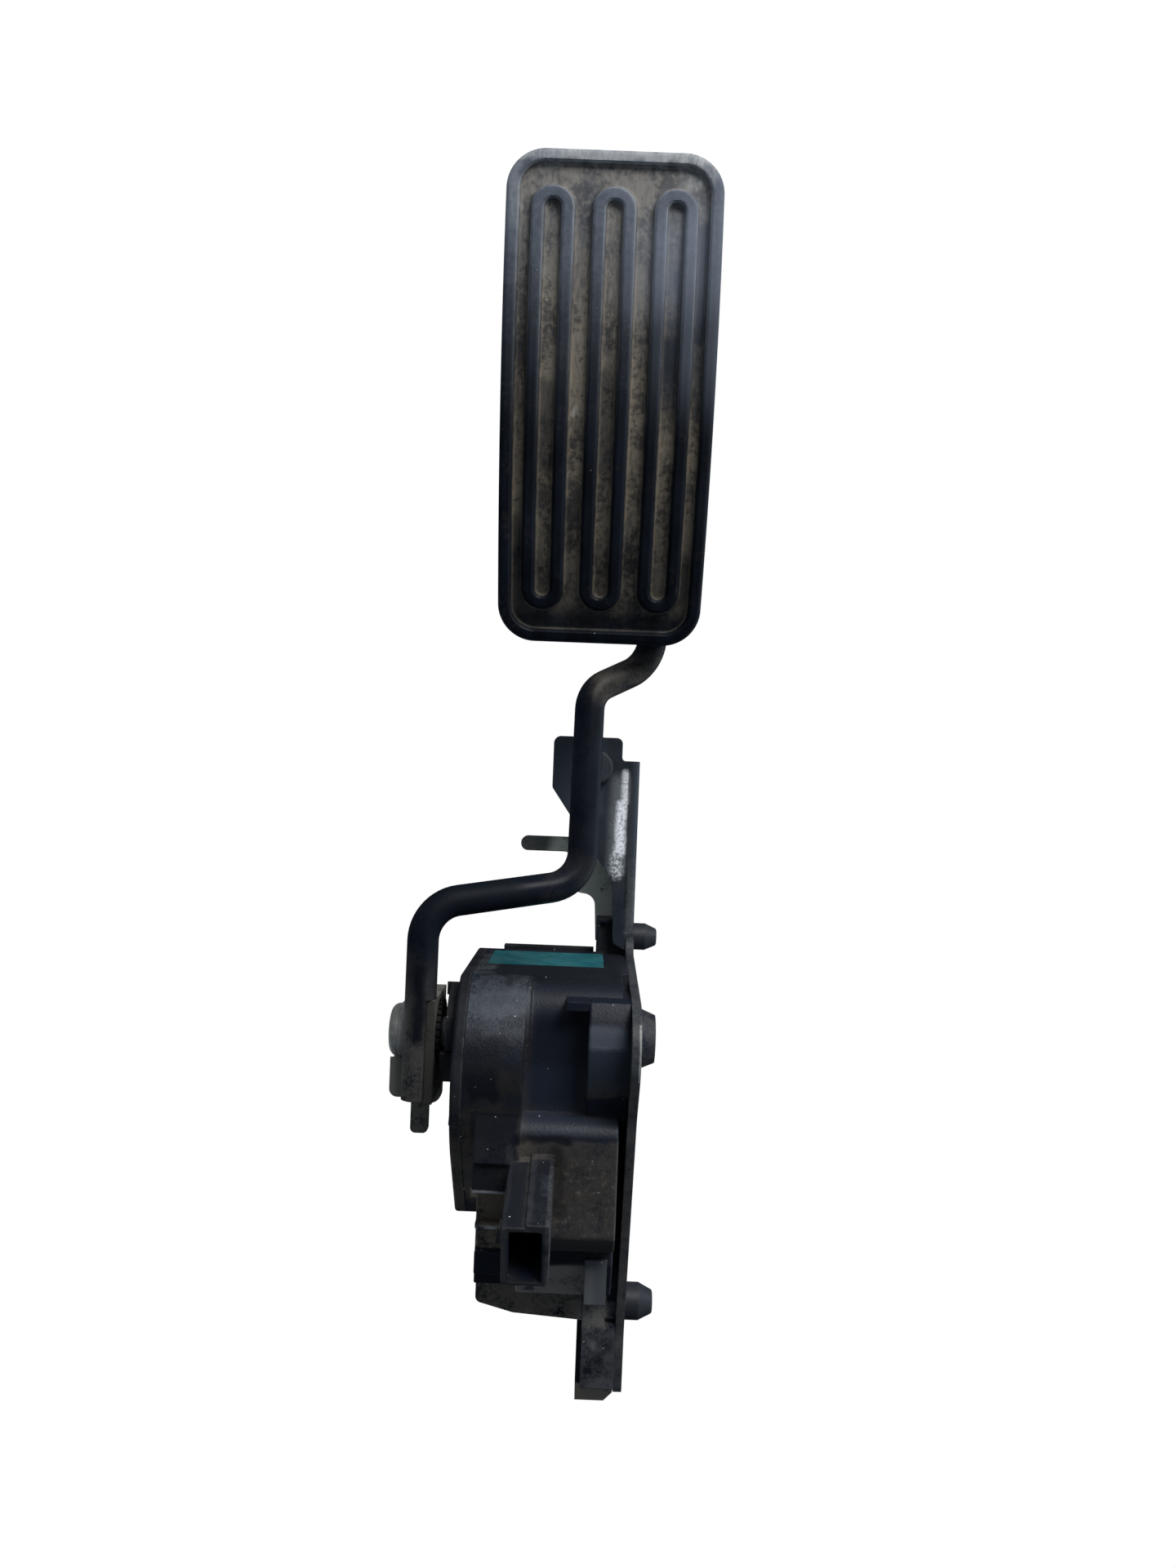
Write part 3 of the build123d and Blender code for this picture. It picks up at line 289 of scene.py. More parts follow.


# One finish: base tones, dust, patches, crease colour (dust where pale, painted shade where dark), worn edges
# and specks laid over each other, then grain
def makeFinish(name, look):
    look = {**plainLook, **look}
    stuff = bpy.data.materials.new(name)
    tree = emptyTree(stuff)
    coords = put(tree, "TexCoord").outputs
    place, outward = coords["Object"], coords["Normal"]
    sway = cloud(tree, place, look["swayScale"], look["swayDetail"], look["swayRough"])
    sway = ease(tree, sway, *look["swayRamp"])
    colour = blendTone(tree, sway, look["base"], look["base2"])
    rough = blendValue(tree, sway, look["rough"], look.get("rough2", look["rough"] + look["roughRise"]))
    grain = useGroup(tree, mouldGrain, {"Place": place, "Fineness": look["fineness"]})["Height"]
    bump = {"Height": grain, "Strength": look["bump"], "Distance": look["bumpDepth"] * mm}
    push = wander(tree, place) if "patches" in look else None
    films = {}

    def film(cover, blotch, edge):
        # one cloud for each blotch size, cut at the level that leaves the wanted cover
        if blotch not in films:
            films[blotch] = useGroup(tree, dustCloud, {"Place": place, "Blotch": blotch})["Spread"]
        return ease(tree, films[blotch], 1 - cover - edge, 1 - cover + edge)

    def paint(mask, newColour, newRough):
        nonlocal colour, rough
        colour = blendTone(tree, mask, colour, newColour)
        rough = blendValue(tree, mask, rough, newRough)

    def lay(layer):
        layer = {**plainLayer, **layer}
        mask = layer["share"]
        if "cover" in layer:
            mask = times(tree, film(layer["cover"], layer["blotch"], layer["edge"]), mask)
        if "at" in layer:
            spot = patchMask(tree, place, push, layer["at"], layer["half"], layer["soft"], layer["ragged"])
            mask = times(tree, spot, mask)
        if "face" in layer:  # only faces that look about this way
            turn = calcVector(tree, "DOT_PRODUCT", outward, layer["face"])
            mask = times(tree, ease(tree, turn, *layer["faceRamp"]), mask)
        paint(mask, layer["colour"], layer["rough"])

    if "dust" in look:
        lay(look["dust"])
    for layer in look.get("patches", []):
        lay(layer)
    # crease colour: dust where it is pale, painted shade where it is dark
    crease = look.get("crease")
    if crease:
        fold = useGroup(tree, creaseDustAndShade, {"Reach": crease["reach"] * mm})["Mask"]
        broken = film(look["creaseCover"], plainLayer["blotch"], plainLayer["edge"])
        paint(times(tree, fold, broken, crease["share"]), crease["colour"], look["creaseRough"])
    wear = look.get("wear")
    if wear:
        links = {"Place": place, "Radius": wear.get("radius", look["wearRadius"]) * mm, "Bare": wear["bare"]}
        edge = useGroup(tree, edgeWear, links)
        bump["Normal"] = edge["Normal"]
        paint(times(tree, edge["Mask"], wear["share"]), wear["colour"], look["wearRough"])
    specks = look.get("specks")
    if specks:
        links = {"Place": place, "Cells": specks["cells"], "Size": specks["size"], "Share": specks["share"]}
        dots = times(tree, useGroup(tree, paleSpecks, links)["Mask"], look["speckStrength"])
        colour = blendTone(tree, dots, colour, specks["colour"])
    for layer in look.get("over", []):
        lay(layer)
    links = {"Base Color": colour, "Roughness": rough, "Normal": put(tree, "Bump", bump).outputs["Normal"],
             "Metallic": look["metal"], "Specular IOR Level": look["gloss"]}
    put(tree, "OutputMaterial", {"Surface": put(tree, "BsdfPrincipled", links).outputs[0]})
    return stuff


def dress(names, stuff):
    for name in names:
        mesh = nodes[name].data
        mesh.materials.clear()
        mesh.materials.append(stuff)


def patch(at, half, **settings):
    # a layer kept to one place: the middle and half sizes of its box in mm, then how it looks
    return {"at": at, "half": half, **settings}


# Tones that several looks share
brownDust = tone(108, 99, 84)
greyDust = tone(116, 115, 109)
paleCrumb = tone(186, 182, 172)
cleanDark = tone(9, 12, 20)

# Sensor housing: blue-black moulding, clean where it was wiped, dusty in front and on its steps
housingLook = {
    "base": tone(8, 14, 27), "base2": tone(15, 21, 35), "swayScale": 45.0,
    "rough": 0.36, "rough2": 0.46, "gloss": 0.3, "fineness": 1700.0, "bump": 0.3,
    "dust": {"colour": brownDust, "cover": 0.6, "share": 0.034, "edge": 0.55},
    "patches": [
        patch((26, 22, -18), (30, 30, 0.8), soft=0.8, ragged=0.2, colour=tone(112, 104, 94), cover=0.6,
              share=0.02),  # underside round the label
        patch((26, 6, -18), (19, 18, 0.6), soft=3, ragged=1, colour=tone(6, 12, 18), share=0.75,
              rough=0.6),  # its middle, wiped dark
        patch((47, 16, -18), (3, 18, 0.8), soft=3, ragged=1, colour=tone(108, 112, 110), cover=0.6,
              share=0.2),  # dusty strip beside the cover
        # drum towards the connector
        patch((40, -14, 32), (9, 13, 13), soft=5, ragged=3, colour=brownDust, cover=0.6, share=0.2),
        patch((40, -18, -11), (8.5, 12, 4), soft=5, ragged=3, colour=tone(112, 118, 128), cover=0.66,
              share=0.18),  # painted highlight on the drum's upper side
        patch((40, -20, -9), (7, 9, 5), soft=4, ragged=3, colour=tone(130, 136, 145), cover=0.4,
              share=0.07, blotch=260.0, edge=0.18),  # paler blots in that painted highlight
        patch((40, -26, 3), (9, 6, 5), soft=7, ragged=3, colour=tone(5, 9, 18), cover=0.75, share=0.7,
              rough=0.36),  # dark beside the painted highlight
        patch((39, -24, 14), (6, 7, 6), soft=6, ragged=3, colour=tone(27, 24, 20), cover=0.7,
              share=0.62, rough=0.6),  # thin brown film round the next spot
        patch((42.8, -24, 9.8), (3.6, 6, 3.4), soft=2.6, ragged=2.4, colour=cleanDark, share=0.97,
              rough=0.4),  # rubbed clean
        # seam beside the cover
        patch((48.35, 10, 10), (0.16, 60, 60), soft=0.12, ragged=0.0, colour=tone(5, 6, 8), share=0.9),
        patch((16, -20, 1), (13.6, 12, 17), soft=0.7, ragged=0.1, colour=tone(14, 20, 33), share=0.8,
              rough=0.46),  # front of the box
        patch((22, -16, 13), (9, 3, 5), soft=5, ragged=0.5, colour=tone(26, 33, 46), share=0.6,
              rough=0.5),  # painted light lifting its shaded part
        patch((30.6, -20, -10), (0.12, 12, 16), soft=0.3, ragged=0.05, colour=tone(5, 7, 12),
              share=0.85),  # painted shadow line where the drum stands out from the box
        patch((18, -22, 39), (14, 1.4, 14), soft=1.4, ragged=0.8, colour=brownDust, cover=0.76,
              share=0.2, blotch=260.0),  # nose
        patch((16, -22, 39), (12, 1.4, 13), soft=1.6, ragged=1.2, colour=tone(12, 13, 15), cover=0.36,
              share=0.5, blotch=420.0, edge=0.14),  # dark spots in its dust
        patch((17, -22, 41), (10, 1.4, 9), soft=4, ragged=1.2, colour=tone(140, 132, 118), cover=0.26,
              share=0.2, blotch=700.0, edge=0.12),  # grit
        patch((25, -22.3, 23.8), (7.4, 2, 0.6), soft=1.6, ragged=1.4, colour=cleanDark, share=0.85,
              rough=0.4),  # damp stain
        patch((21.6, -22, 36), (0.8, 1, 9), soft=2.4, ragged=0.8, colour=tone(11, 12, 14), share=0.62,
              rough=0.5),  # painted shadow beside the connector
        patch((18, -19, 20.4), (15, 4, 2), soft=1.0, ragged=0.4, colour=tone(35, 40, 51), share=0.8,
              rough=0.36),  # ledge
        patch((8.5, -22, 9.6), (6, 5, 1.8), soft=1.4, ragged=1.0, colour=brownDust, cover=0.7,
              share=0.16, blotch=260.0),  # beside the boss
        patch((9.4, -24.8, -2.5), (4.2, 2, 0.1), soft=0.2, ragged=0.1, colour=tone(120, 122, 126),
              share=0.16, rough=0.5),  # mould line
        patch((8, -24, 3), (7, 4, 5), soft=3, ragged=0.8, colour=tone(36, 43, 53), share=0.75,
              rough=0.46),  # front of the boss
        patch((9, -24.4, -5), (4, 3, 1.6), soft=2.4, ragged=0.6, colour=tone(118, 124, 136), share=0.2,
              rough=0.4),  # painted highlight on the boss
        patch((39, -24, 24), (6, 2, 6.8), soft=0.9, ragged=0.5, colour=tone(13, 18, 29), share=0.7,
              rough=0.44),  # first step
        patch((39, -22, 35.4), (6, 2, 4.2), soft=0.5, ragged=0.3, colour=tone(9, 13, 21), share=0.85,
              rough=0.44),  # second step
        patch((39.5, -22.3, 39.2), (5, 1.4, 0.3), soft=0.6, ragged=0.3, colour=tone(140, 142, 146),
              cover=0.75, share=0.46, rough=0.5),  # its edge: wear, and a painted highlight on the rounding
        # third step
        patch((39, -6, 50), (7, 3, 6), soft=0.8, ragged=0.6, colour=brownDust, cover=0.7, share=0.7),
        patch((39, -6, 58.6), (7, 3, 2.2), soft=0.6, ragged=0.4, colour=brownDust, cover=0.7,
              share=0.75),  # the step beyond it
        patch((40, -6, 54.4), (5, 3, 0.6), soft=0.7, ragged=0.4, colour=tone(150, 152, 154),
              cover=0.75, share=0.65, rough=0.5),  # edge between them: wear, and a painted highlight on the rounding
        patch((39, -6.5, 64.6), (7, 2, 3.4), soft=0.6, ragged=0.4, colour=tone(14, 20, 33), share=0.8,
              rough=0.44),  # foot
        patch((26, 8, 80), (20, 1.2, 8), soft=1.0, ragged=0.8, colour=brownDust, cover=0.66,
              share=0.56),  # rear block
        patch((28.5, -39, 38), (9, 14.6, 18), soft=0.8, ragged=0.4, colour=tone(20, 23, 29),
              share=0.88, rough=0.44),  # connector
        patch((25.4, -38, 32), (3, 14, 9), soft=0.5, ragged=0.3, colour=tone(112, 112, 112), cover=0.3,
              share=0.07, blotch=260.0, rough=0.6),  # scuffs on its key
        patch((28.2, -36, 34), (0.7, 12, 6), soft=0.9, ragged=0.5, colour=tone(122, 122, 122),
              cover=0.62, share=0.06, blotch=420.0, rough=0.5),  # pale line along the edge of its key: painted highlight, broken like a rub
        patch((34.5, -36, 40), (0.5, 14, 14), soft=1.0, ragged=0.3, colour=tone(112, 114, 117),
              cover=0.7, share=0.08, rough=0.5),  # painted highlight along its drum-side edge, broken like a rub
        patch((22.7, -38, 43), (0.35, 14, 14), soft=0.6, ragged=0.2, colour=tone(126, 124, 120),
              cover=0.7, share=0.15, rough=0.5),  # painted highlight along its plate-side edge, broken like a rub
        patch((24, -34, 32.5), (0.6, 3, 2), soft=1.4, ragged=0.8, colour=tone(150, 156, 166),
              cover=0.5, share=0.06, blotch=420.0, rough=0.5),  # pale scrape there
        patch((28.5, -45, 47.5), (7, 6, 11), soft=0.8, ragged=0.3, colour=tone(66, 66, 66), cover=0.7,
              share=0.3, rough=0.6, face=(0, -0.94, 0.34)),  # its front rim
        patch((28.5, -46, 48), (4.3, 7.6, 6), soft=0.5, ragged=0.1, colour=tone(17, 23, 38), share=0.9,
              rough=0.5),  # inside the socket
        patch((22, -7, 70.5), (11, 6, 6), soft=2.0, ragged=0.6, colour=tone(100, 97, 93), cover=0.75,
              share=0.62),  # sloped foot
        patch((9.5, -11.5, 67.2), (3.4, 1, 6.6), soft=0.4, ragged=0.2, colour=tone(74, 76, 79),
              share=0.74, rough=0.6),  # rib on the ear
        patch((7.5, 7.2, 94), (6, 1, 13), soft=0.8, ragged=0.5, colour=tone(101, 101, 103), cover=0.7,
              share=0.32),  # face of the ear
        patch((8, 13.6, 112), (7, 2, 3), soft=0.6, ragged=0.3, colour=tone(116, 108, 96), cover=0.85,
              share=0.85),  # dusty end of the ear
        patch((11, 7.2, 90), (2, 1, 5), soft=3, ragged=1.6, colour=tone(112, 113, 114), cover=0.5,
              share=0.36, blotch=420.0),  # scuffs at its root
        patch((8, 7.2, 97), (3, 1, 6.5), soft=3.0, ragged=1.5, colour=cleanDark, cover=0.5, share=0.85,
              blotch=260.0, rough=0.42),  # rubbed spots on the ear
        patch((-2.6, 0, 0), (2.7, 10, 10), soft=0.2, ragged=0.1, colour=tone(116, 110, 98), cover=0.6,
              share=0.16, blotch=260.0),  # cone round the shaft's end
        patch((-4, 50.1, -23.5), (4, 5, 5), soft=0.3, ragged=0.1, colour=tone(44, 46, 50), share=0.6,
              rough=0.5),  # lower pin
        patch((-4.3, 14.5, 83.3), (4.3, 6, 6), soft=0.3, ragged=0.1, colour=tone(44, 46, 50),
              share=0.6, rough=0.5),  # upper pin
    ],
    "over": [
        patch((13, -18, 55.4), (14, 5, 3.7), soft=0.5, ragged=0.2, colour=tone(29, 28, 27), share=0.9,
              rough=0.6),  # bevel beyond the nose
    ],
    "crease": {"colour": tone(84, 77, 66), "share": 0.16, "reach": 3.5},
    "wear": {"colour": tone(104, 108, 114), "bare": 0.42, "radius": 0.5, "share": 0.26},
    "specks": {"colour": paleCrumb, "share": 0.2, "cells": 520.0, "size": 0.12},
}
dress(["sensor_housing"], makeFinish("mouldedPlastic", housingLook))

# Drum cover, collar and rear cover: the same plastic, dustier
coverLook = {
    "base": tone(11, 15, 24), "base2": tone(20, 23, 31), "swayScale": 60.0,
    "rough": 0.44, "gloss": 0.18, "fineness": 1700.0, "bump": 0.3,
    "dust": {"colour": brownDust, "cover": 0.68, "share": 0.056, "edge": 0.55},
    "patches": [
        patch((48.55, 10, 10), (0.12, 60, 60), soft=0.12, ragged=0.1, colour=tone(110, 111, 112),
              cover=0.6, share=0.12),  # pale line along the seam
        # dust over the drum
        patch((50, -10, 40), (4, 26, 12), soft=8, ragged=3, colour=brownDust, cover=0.7, share=0.16),
    ],
    "crease": {"colour": tone(84, 77, 66), "share": 0.16, "reach": 3.0},
    "wear": {"colour": tone(104, 105, 106), "bare": 0.42, "radius": 0.5, "share": 0.24},
    "specks": {"colour": paleCrumb, "share": 0.16, "cells": 500.0, "size": 0.1},
}
dress(["drum_cover", "hub_collar", "rear_cover"], makeFinish("coverPlastic", coverLook))

# Rod: satin black paint, dusty along its end run with a painted dark reflection down the middle
rodLook = {
    "base": tone(5, 10, 20), "base2": tone(10, 16, 27), "swayScale": 80.0,
    "rough": 0.28, "rough2": 0.36, "gloss": 0.09, "bump": 0.14,
    "dust": {"colour": brownDust, "cover": 0.56, "share": 0.032, "edge": 0.55},
    "patches": [
        patch((62.4, -13, 7), (5.5, 6, 9), soft=26, ragged=3, colour=tone(98, 94, 88), cover=0.7,
              share=0.33),  # dusty end run
        patch((62.2, -14.4, -10), (0.5, 3, 10), soft=2.6, ragged=0.9, colour=cleanDark, share=0.9,
              rough=0.36),  # painted dark reflection down its middle
        # thin dust at the bend
        patch((20, 3, -45), (7, 9, 6), soft=4, ragged=2, colour=brownDust, cover=0.5, share=0.04),
        patch((48, -7, -36), (9, 9, 8), soft=8, ragged=1, colour=tone(9, 14, 22), share=0.85,
              rough=0.62),  # cross run, dull near the lever
        # dusty bend under the pad
        patch((4, 15, -107), (8, 9, 4), soft=7, ragged=2, colour=brownDust, cover=0.6, share=0.24),
    ],
    "wear": {"colour": tone(96, 96, 94), "bare": 0.3, "radius": 0.5, "share": 0.25},
    "specks": {"colour": paleCrumb, "share": 0.06, "cells": 500.0, "size": 0.08},
}
dress(["pedal_arm", "pad_plate"], makeFinish("rodPaint", rodLook))

# Lever bracket: the same paint under grey-olive dust, worn bare along its edges
leverLook = {
    "base": tone(16, 19, 25), "base2": tone(26, 28, 31), "swayScale": 80.0,
    "rough": 0.48, "gloss": 0.2, "bump": 0.25,
    "dust": {"colour": tone(106, 103, 96), "cover": 0.74, "share": 0.7},
    "patches": [
        patch((69.3, 0, 12), (2.2, 7, 9), soft=0.5, ragged=0.4, colour=tone(112, 112, 110), cover=0.5,
              share=0.06, rough=0.5),  # scuffs round the head
    ],
    "over": [
        patch((59.5, -12, 4), (2.4, 1, 24), soft=0.8, ragged=0.3, colour=tone(30, 29, 28), share=0.75,
              face=(0, -1, 0)),  # front edge beside the rod
    ],
    "crease": {"colour": tone(60, 55, 47), "share": 0.3, "reach": 2.5},
    "wear": {"colour": tone(140, 140, 136), "bare": 0.44, "radius": 0.5, "share": 0.4},
}
dress(["lever_bracket"], makeFinish("leverPaint", leverLook))

# Mounting plate: black paint worn through along the bend, with a painted highlight there, dusty rear flange
# and edges
plateLook = {
    "base": tone(20, 27, 37), "base2": tone(26, 33, 43), "swayScale": 70.0,
    "rough": 0.34, "rough2": 0.46, "gloss": 0.32, "bump": 0.2,
    "dust": {"colour": greyDust, "cover": 0.6, "share": 0.056, "edge": 0.55},
    "patches": [
        patch((20.5, 42.5, -78), (8, 1.2, 13), soft=2.4, ragged=0.4, colour=tone(46, 53, 64),
              share=0.7, rough=0.5),  # stop tab
        patch((6.2, 43, -61), (1.0, 3, 14), soft=4.2, ragged=0.5, colour=tone(124, 128, 133),
              cover=0.75, share=0.5, blotch=1000.0, rough=0.36),  # paint worn thin along the bend, and a painted highlight along it
        patch((4.5, 43, -73.5), (0.3, 3, 4.5), soft=1.8, ragged=0.4, colour=tone(225, 227, 230),
              cover=0.66, share=0.85, blotch=1000.0, edge=0.28, rough=0.3),  # bare spots there, painted bright as the bend's highlight
        patch((5.7, 43, -60), (0.5, 3, 8), soft=2.0, ragged=0.4, colour=tone(240, 242, 245),
              cover=0.64, share=0.92, blotch=1000.0, edge=0.28, rough=0.3),  # bare spots, painted brightest as the bend's highlight
        patch((6.4, 43, -48.5), (0.4, 3, 4), soft=2.4, ragged=1.0, colour=tone(220, 223, 226),
              cover=0.46, share=0.85, blotch=1000.0, edge=0.2, rough=0.3),  # bare spots, fewer, painted bright as the bend's highlight
        patch((2.2, 43, -60), (1.2, 3, 26), soft=0.7, ragged=0.2, colour=tone(13, 17, 24), share=0.72,
              rough=0.4),  # outer wall of the arm
        patch((34, 55.6, -54), (14, 1.5, 5), soft=2, ragged=0.6, colour=tone(118, 116, 106), cover=0.8,
              share=0.24, face=(0, -1, 0)),  # cable finger
        patch((12, 55, -40), (14, 2, 14), soft=5, ragged=1, colour=tone(158, 158, 150), cover=0.85,
              share=0.9, face=(0, -1, 0)),  # dusty rear flange
        patch((1.3, 20, 40), (1.5, 90, 90), soft=0.2, ragged=0.1, colour=tone(96, 92, 84), cover=0.6,
              share=0.2),  # dust along the edges
        patch((1.3, -5, 50), (1.6, 30, 45), soft=1, ragged=0.2, colour=tone(100, 94, 86), cover=0.6,
              share=0.22, blotch=260.0, face=(0, -0.95, 0.3)),  # dusty front edge
        patch((2.6, 2, 45), (0.5, 12, 28), soft=2, ragged=0.3, colour=tone(66, 74, 92), share=0.75,
              rough=0.5, face=(1, 0, 0)),  # painted light on the inner face beside the nose, lifting its shade
        patch((0.2, -33, -5), (0.3, 3, 10), soft=0.2, ragged=0.1, colour=tone(168, 168, 164),
              cover=0.7, share=0.5, rough=0.45),  # worn rim at the front
        patch((1.0, -33.6, -7.3), (0.35, 0.8, 0.4), soft=0.35, ragged=0.3, colour=tone(232, 234, 236),
              share=0.95, rough=0.3),  # painted highlight spot on it
    ],
    "crease": {"colour": tone(84, 79, 70), "share": 0.18, "reach": 3.0},
    "wear": {"colour": tone(150, 152, 153), "bare": 0.42, "radius": 0.6, "share": 0.38},
    "specks": {"colour": paleCrumb, "share": 0.08, "cells": 500.0, "size": 0.1},
}
dress(["mounting_plate"], makeFinish("platePaint", plateLook))

# Rubber of the stop and of the seal
rubberLook = {
    "base": tone(33, 38, 46), "base2": tone(42, 47, 55), "rough": 0.62, "gloss": 0.2,
    "dust": {"colour": greyDust, "cover": 0.5, "share": 0.1},
    # dark creases: painted shade round the stop's edges and folds
    "crease": {"colour": tone(8, 9, 11), "share": 0.8, "reach": 1.5},
    "wear": {"colour": tone(90, 90, 90), "bare": 0.35, "radius": 0.4, "share": 0.25},
}
dress(["stop_bumper", "shaft_seal"], makeFinish("rubberStop", rubberLook))

# Bright metal: domed head and washer, then the darker oiled ring
headLook = {
    "base": tone(160, 161, 160), "base2": tone(130, 130, 128), "swayScale": 140.0,
    "rough": 0.42, "metal": 0.55, "bump": 0.12,
    "dust": {"colour": tone(112, 107, 98), "cover": 0.5, "share": 0.3},
    # dark creases: painted shade round the head, washer and screws
    "crease": {"colour": tone(36, 34, 30), "share": 0.8, "reach": 1.5},
    "wear": {"colour": tone(196, 197, 197), "bare": 0.4, "radius": 0.4, "share": 0.35},
}
dress(["pivot_shaft", "pivot_washer", "cover_screw_1", "cover_screw_2", "cover_screw_3"],
      makeFinish("platedSteel", headLook))
ringLook = {
    "base": tone(22, 23, 26), "base2": tone(36, 36, 38), "swayScale": 200.0,
    "rough": 0.28, "metal": 0.45, "bump": 0.1,
    "dust": {"colour": tone(28, 26, 24), "cover": 0.5, "share": 0.4, "blotch": 220.0},
    # worn edges, painted bright as glints on the teeth
    "wear": {"colour": tone(214, 216, 218), "bare": 0.42, "radius": 0.25, "share": 0.4},
}
dress(["toothed_ring"], makeFinish("oiledSteel", ringLook))

# Inside the housing: spring wire, magnet, bushes, contacts, nylon, board and chips
springLook = {
    "base": tone(120, 122, 126), "base2": tone(96, 98, 102), "swayScale": 240.0,
    "rough": 0.3, "metal": 0.9, "bump": 0.08,
    "dust": {"colour": tone(80, 70, 56), "cover": 0.3, "share": 0.3},
}
dress(["outer_spring", "inner_spring"], makeFinish("springWire", springLook))
magnetLook = {
    "base": tone(84, 84, 86), "base2": tone(70, 70, 72), "swayScale": 300.0,
    "rough": 0.5, "metal": 0.5, "fineness": 2600.0,
    "wear": {"colour": tone(130, 130, 130), "bare": 0.4, "share": 0.4},
}
dress(["rotor_magnet"], makeFinish("sinteredMagnet", magnetLook))
bronzeLook = {
    "base": tone(168, 132, 78), "base2": tone(140, 108, 62), "swayScale": 260.0,
    "rough": 0.4, "metal": 0.85, "fineness": 2600.0, "bump": 0.15,
}
dress(["outer_bush", "inner_bush"], makeFinish("sinteredBronze", bronzeLook))
# contacts painted dark as the shade inside the socket
contactLook = {
    "base": tone(44, 43, 40), "base2": tone(32, 31, 29), "swayScale": 300.0,
    "rough": 0.5, "metal": 0.7, "bump": 0.05,
    "dust": {"colour": tone(22, 21, 20), "cover": 0.6, "share": 0.6, "blotch": 240.0},
}
dress([f"contact_pin_{n}" for n in range(1, 7)], makeFinish("tinDarkenedForShade", contactLook))
nylonLook = {
    "base": tone(206, 202, 190), "base2": tone(192, 186, 172), "rough": 0.5, "gloss": 0.4,
    "dust": {"colour": tone(120, 106, 84), "cover": 0.3, "share": 0.25},
    "wear": {"colour": tone(226, 224, 216), "bare": 0.3, "share": 0.3},
}
dress(["friction_washer", "rotor"], makeFinish("nylon", nylonLook))
boardLook = {
    "base": tone(22, 80, 48), "base2": tone(30, 98, 58), "swayScale": 300.0,
    "rough": 0.36, "gloss": 0.45, "fineness": 1200.0,
    "wear": {"colour": tone(150, 140, 100), "bare": 0.5, "share": 0.6},
}
dress(["circuit_board"], makeFinish("boardMask", boardLook))
chipLook = {
    "base": tone(24, 24, 26), "base2": tone(34, 34, 36), "rough": 0.52, "fineness": 3000.0,
    "wear": {"colour": tone(80, 80, 80), "bare": 0.4, "share": 0.3},
}
dress(["field_sensor_a", "field_sensor_b", "signal_chip"], makeFinish("chipEpoxy", chipLook))

# Blank label: teal print film, scuffed and dusty
labelLook = {
    "base": tone(3, 76, 84), "base2": tone(10, 88, 94), "swayScale": 90.0,
    "rough": 0.46, "gloss": 0.25, "bump": 0.1,
    "dust": {"colour": tone(70, 88, 86), "cover": 0.42, "share": 0.3, "blotch": 170.0},
    "patches": [
        patch((28, 30, -18.2), (20, 16, 1), soft=1, ragged=0, colour=tone(10, 34, 37), cover=0.22,
              share=0.7, blotch=420.0, rough=0.6),  # dark scuffs
    ],
    "wear": {"colour": tone(130, 160, 158), "bare": 0.4, "radius": 0.3, "share": 0.4},
}
dress(["blank_label"], makeFinish("labelFilm", labelLook))
print("finishes laid on the nodes")

# Rubber pad: a bowed face with a rim and three racetrack ribs, rolled over its edge, with a lip round the
# steel plate (mm and degrees)
padShape = {"middle": (15.7, -17.3, -179.9), "lean": 12.8, "faceRadius": 246.0, "width": 60.0,
            "length": 135.4, "corner": 11.0, "ribHeight": 2.2, "rubber": 5.0, "plate": 2.0, "plateGap": 0.1,
            "lip": 3.0, "lipSlope": 0.4, "rim": 4.0, "edgeRound": 1.5, "slopeIn": 0.95, "slopeOut": 0.55,
            "ringPitch": 17.0, "ringWidth": 12.6, "ringRib": 4.2, "ringLength": 116.0, "sharpAngle": 50.0,
            "rollSteps": 7, "step": 0.4, "wideStep": 1.6, "fineEnds": 28.0, "coarseMiddle": 0.3}


def smooth(value, low, high):
    share = np.clip((value - low) / (high - low), 0, 1)
    return share * share * (3 - 2 * share)


def inwardSteps(reach, shape, fineTo):
    # distances from an edge: a quarter circle's steps, then even fine steps, then wider ones to the middle
    roll = shape["edgeRound"] * (1 - np.cos(np.linspace(0, math.pi / 2, shape["rollSteps"])))
    fine = np.arange(shape["edgeRound"] + shape["step"], fineTo, shape["step"])
    wide = np.linspace(fineTo, reach, max(2, int((reach - fineTo) / shape["wideStep"])))
    return np.concatenate((roll, fine, wide))


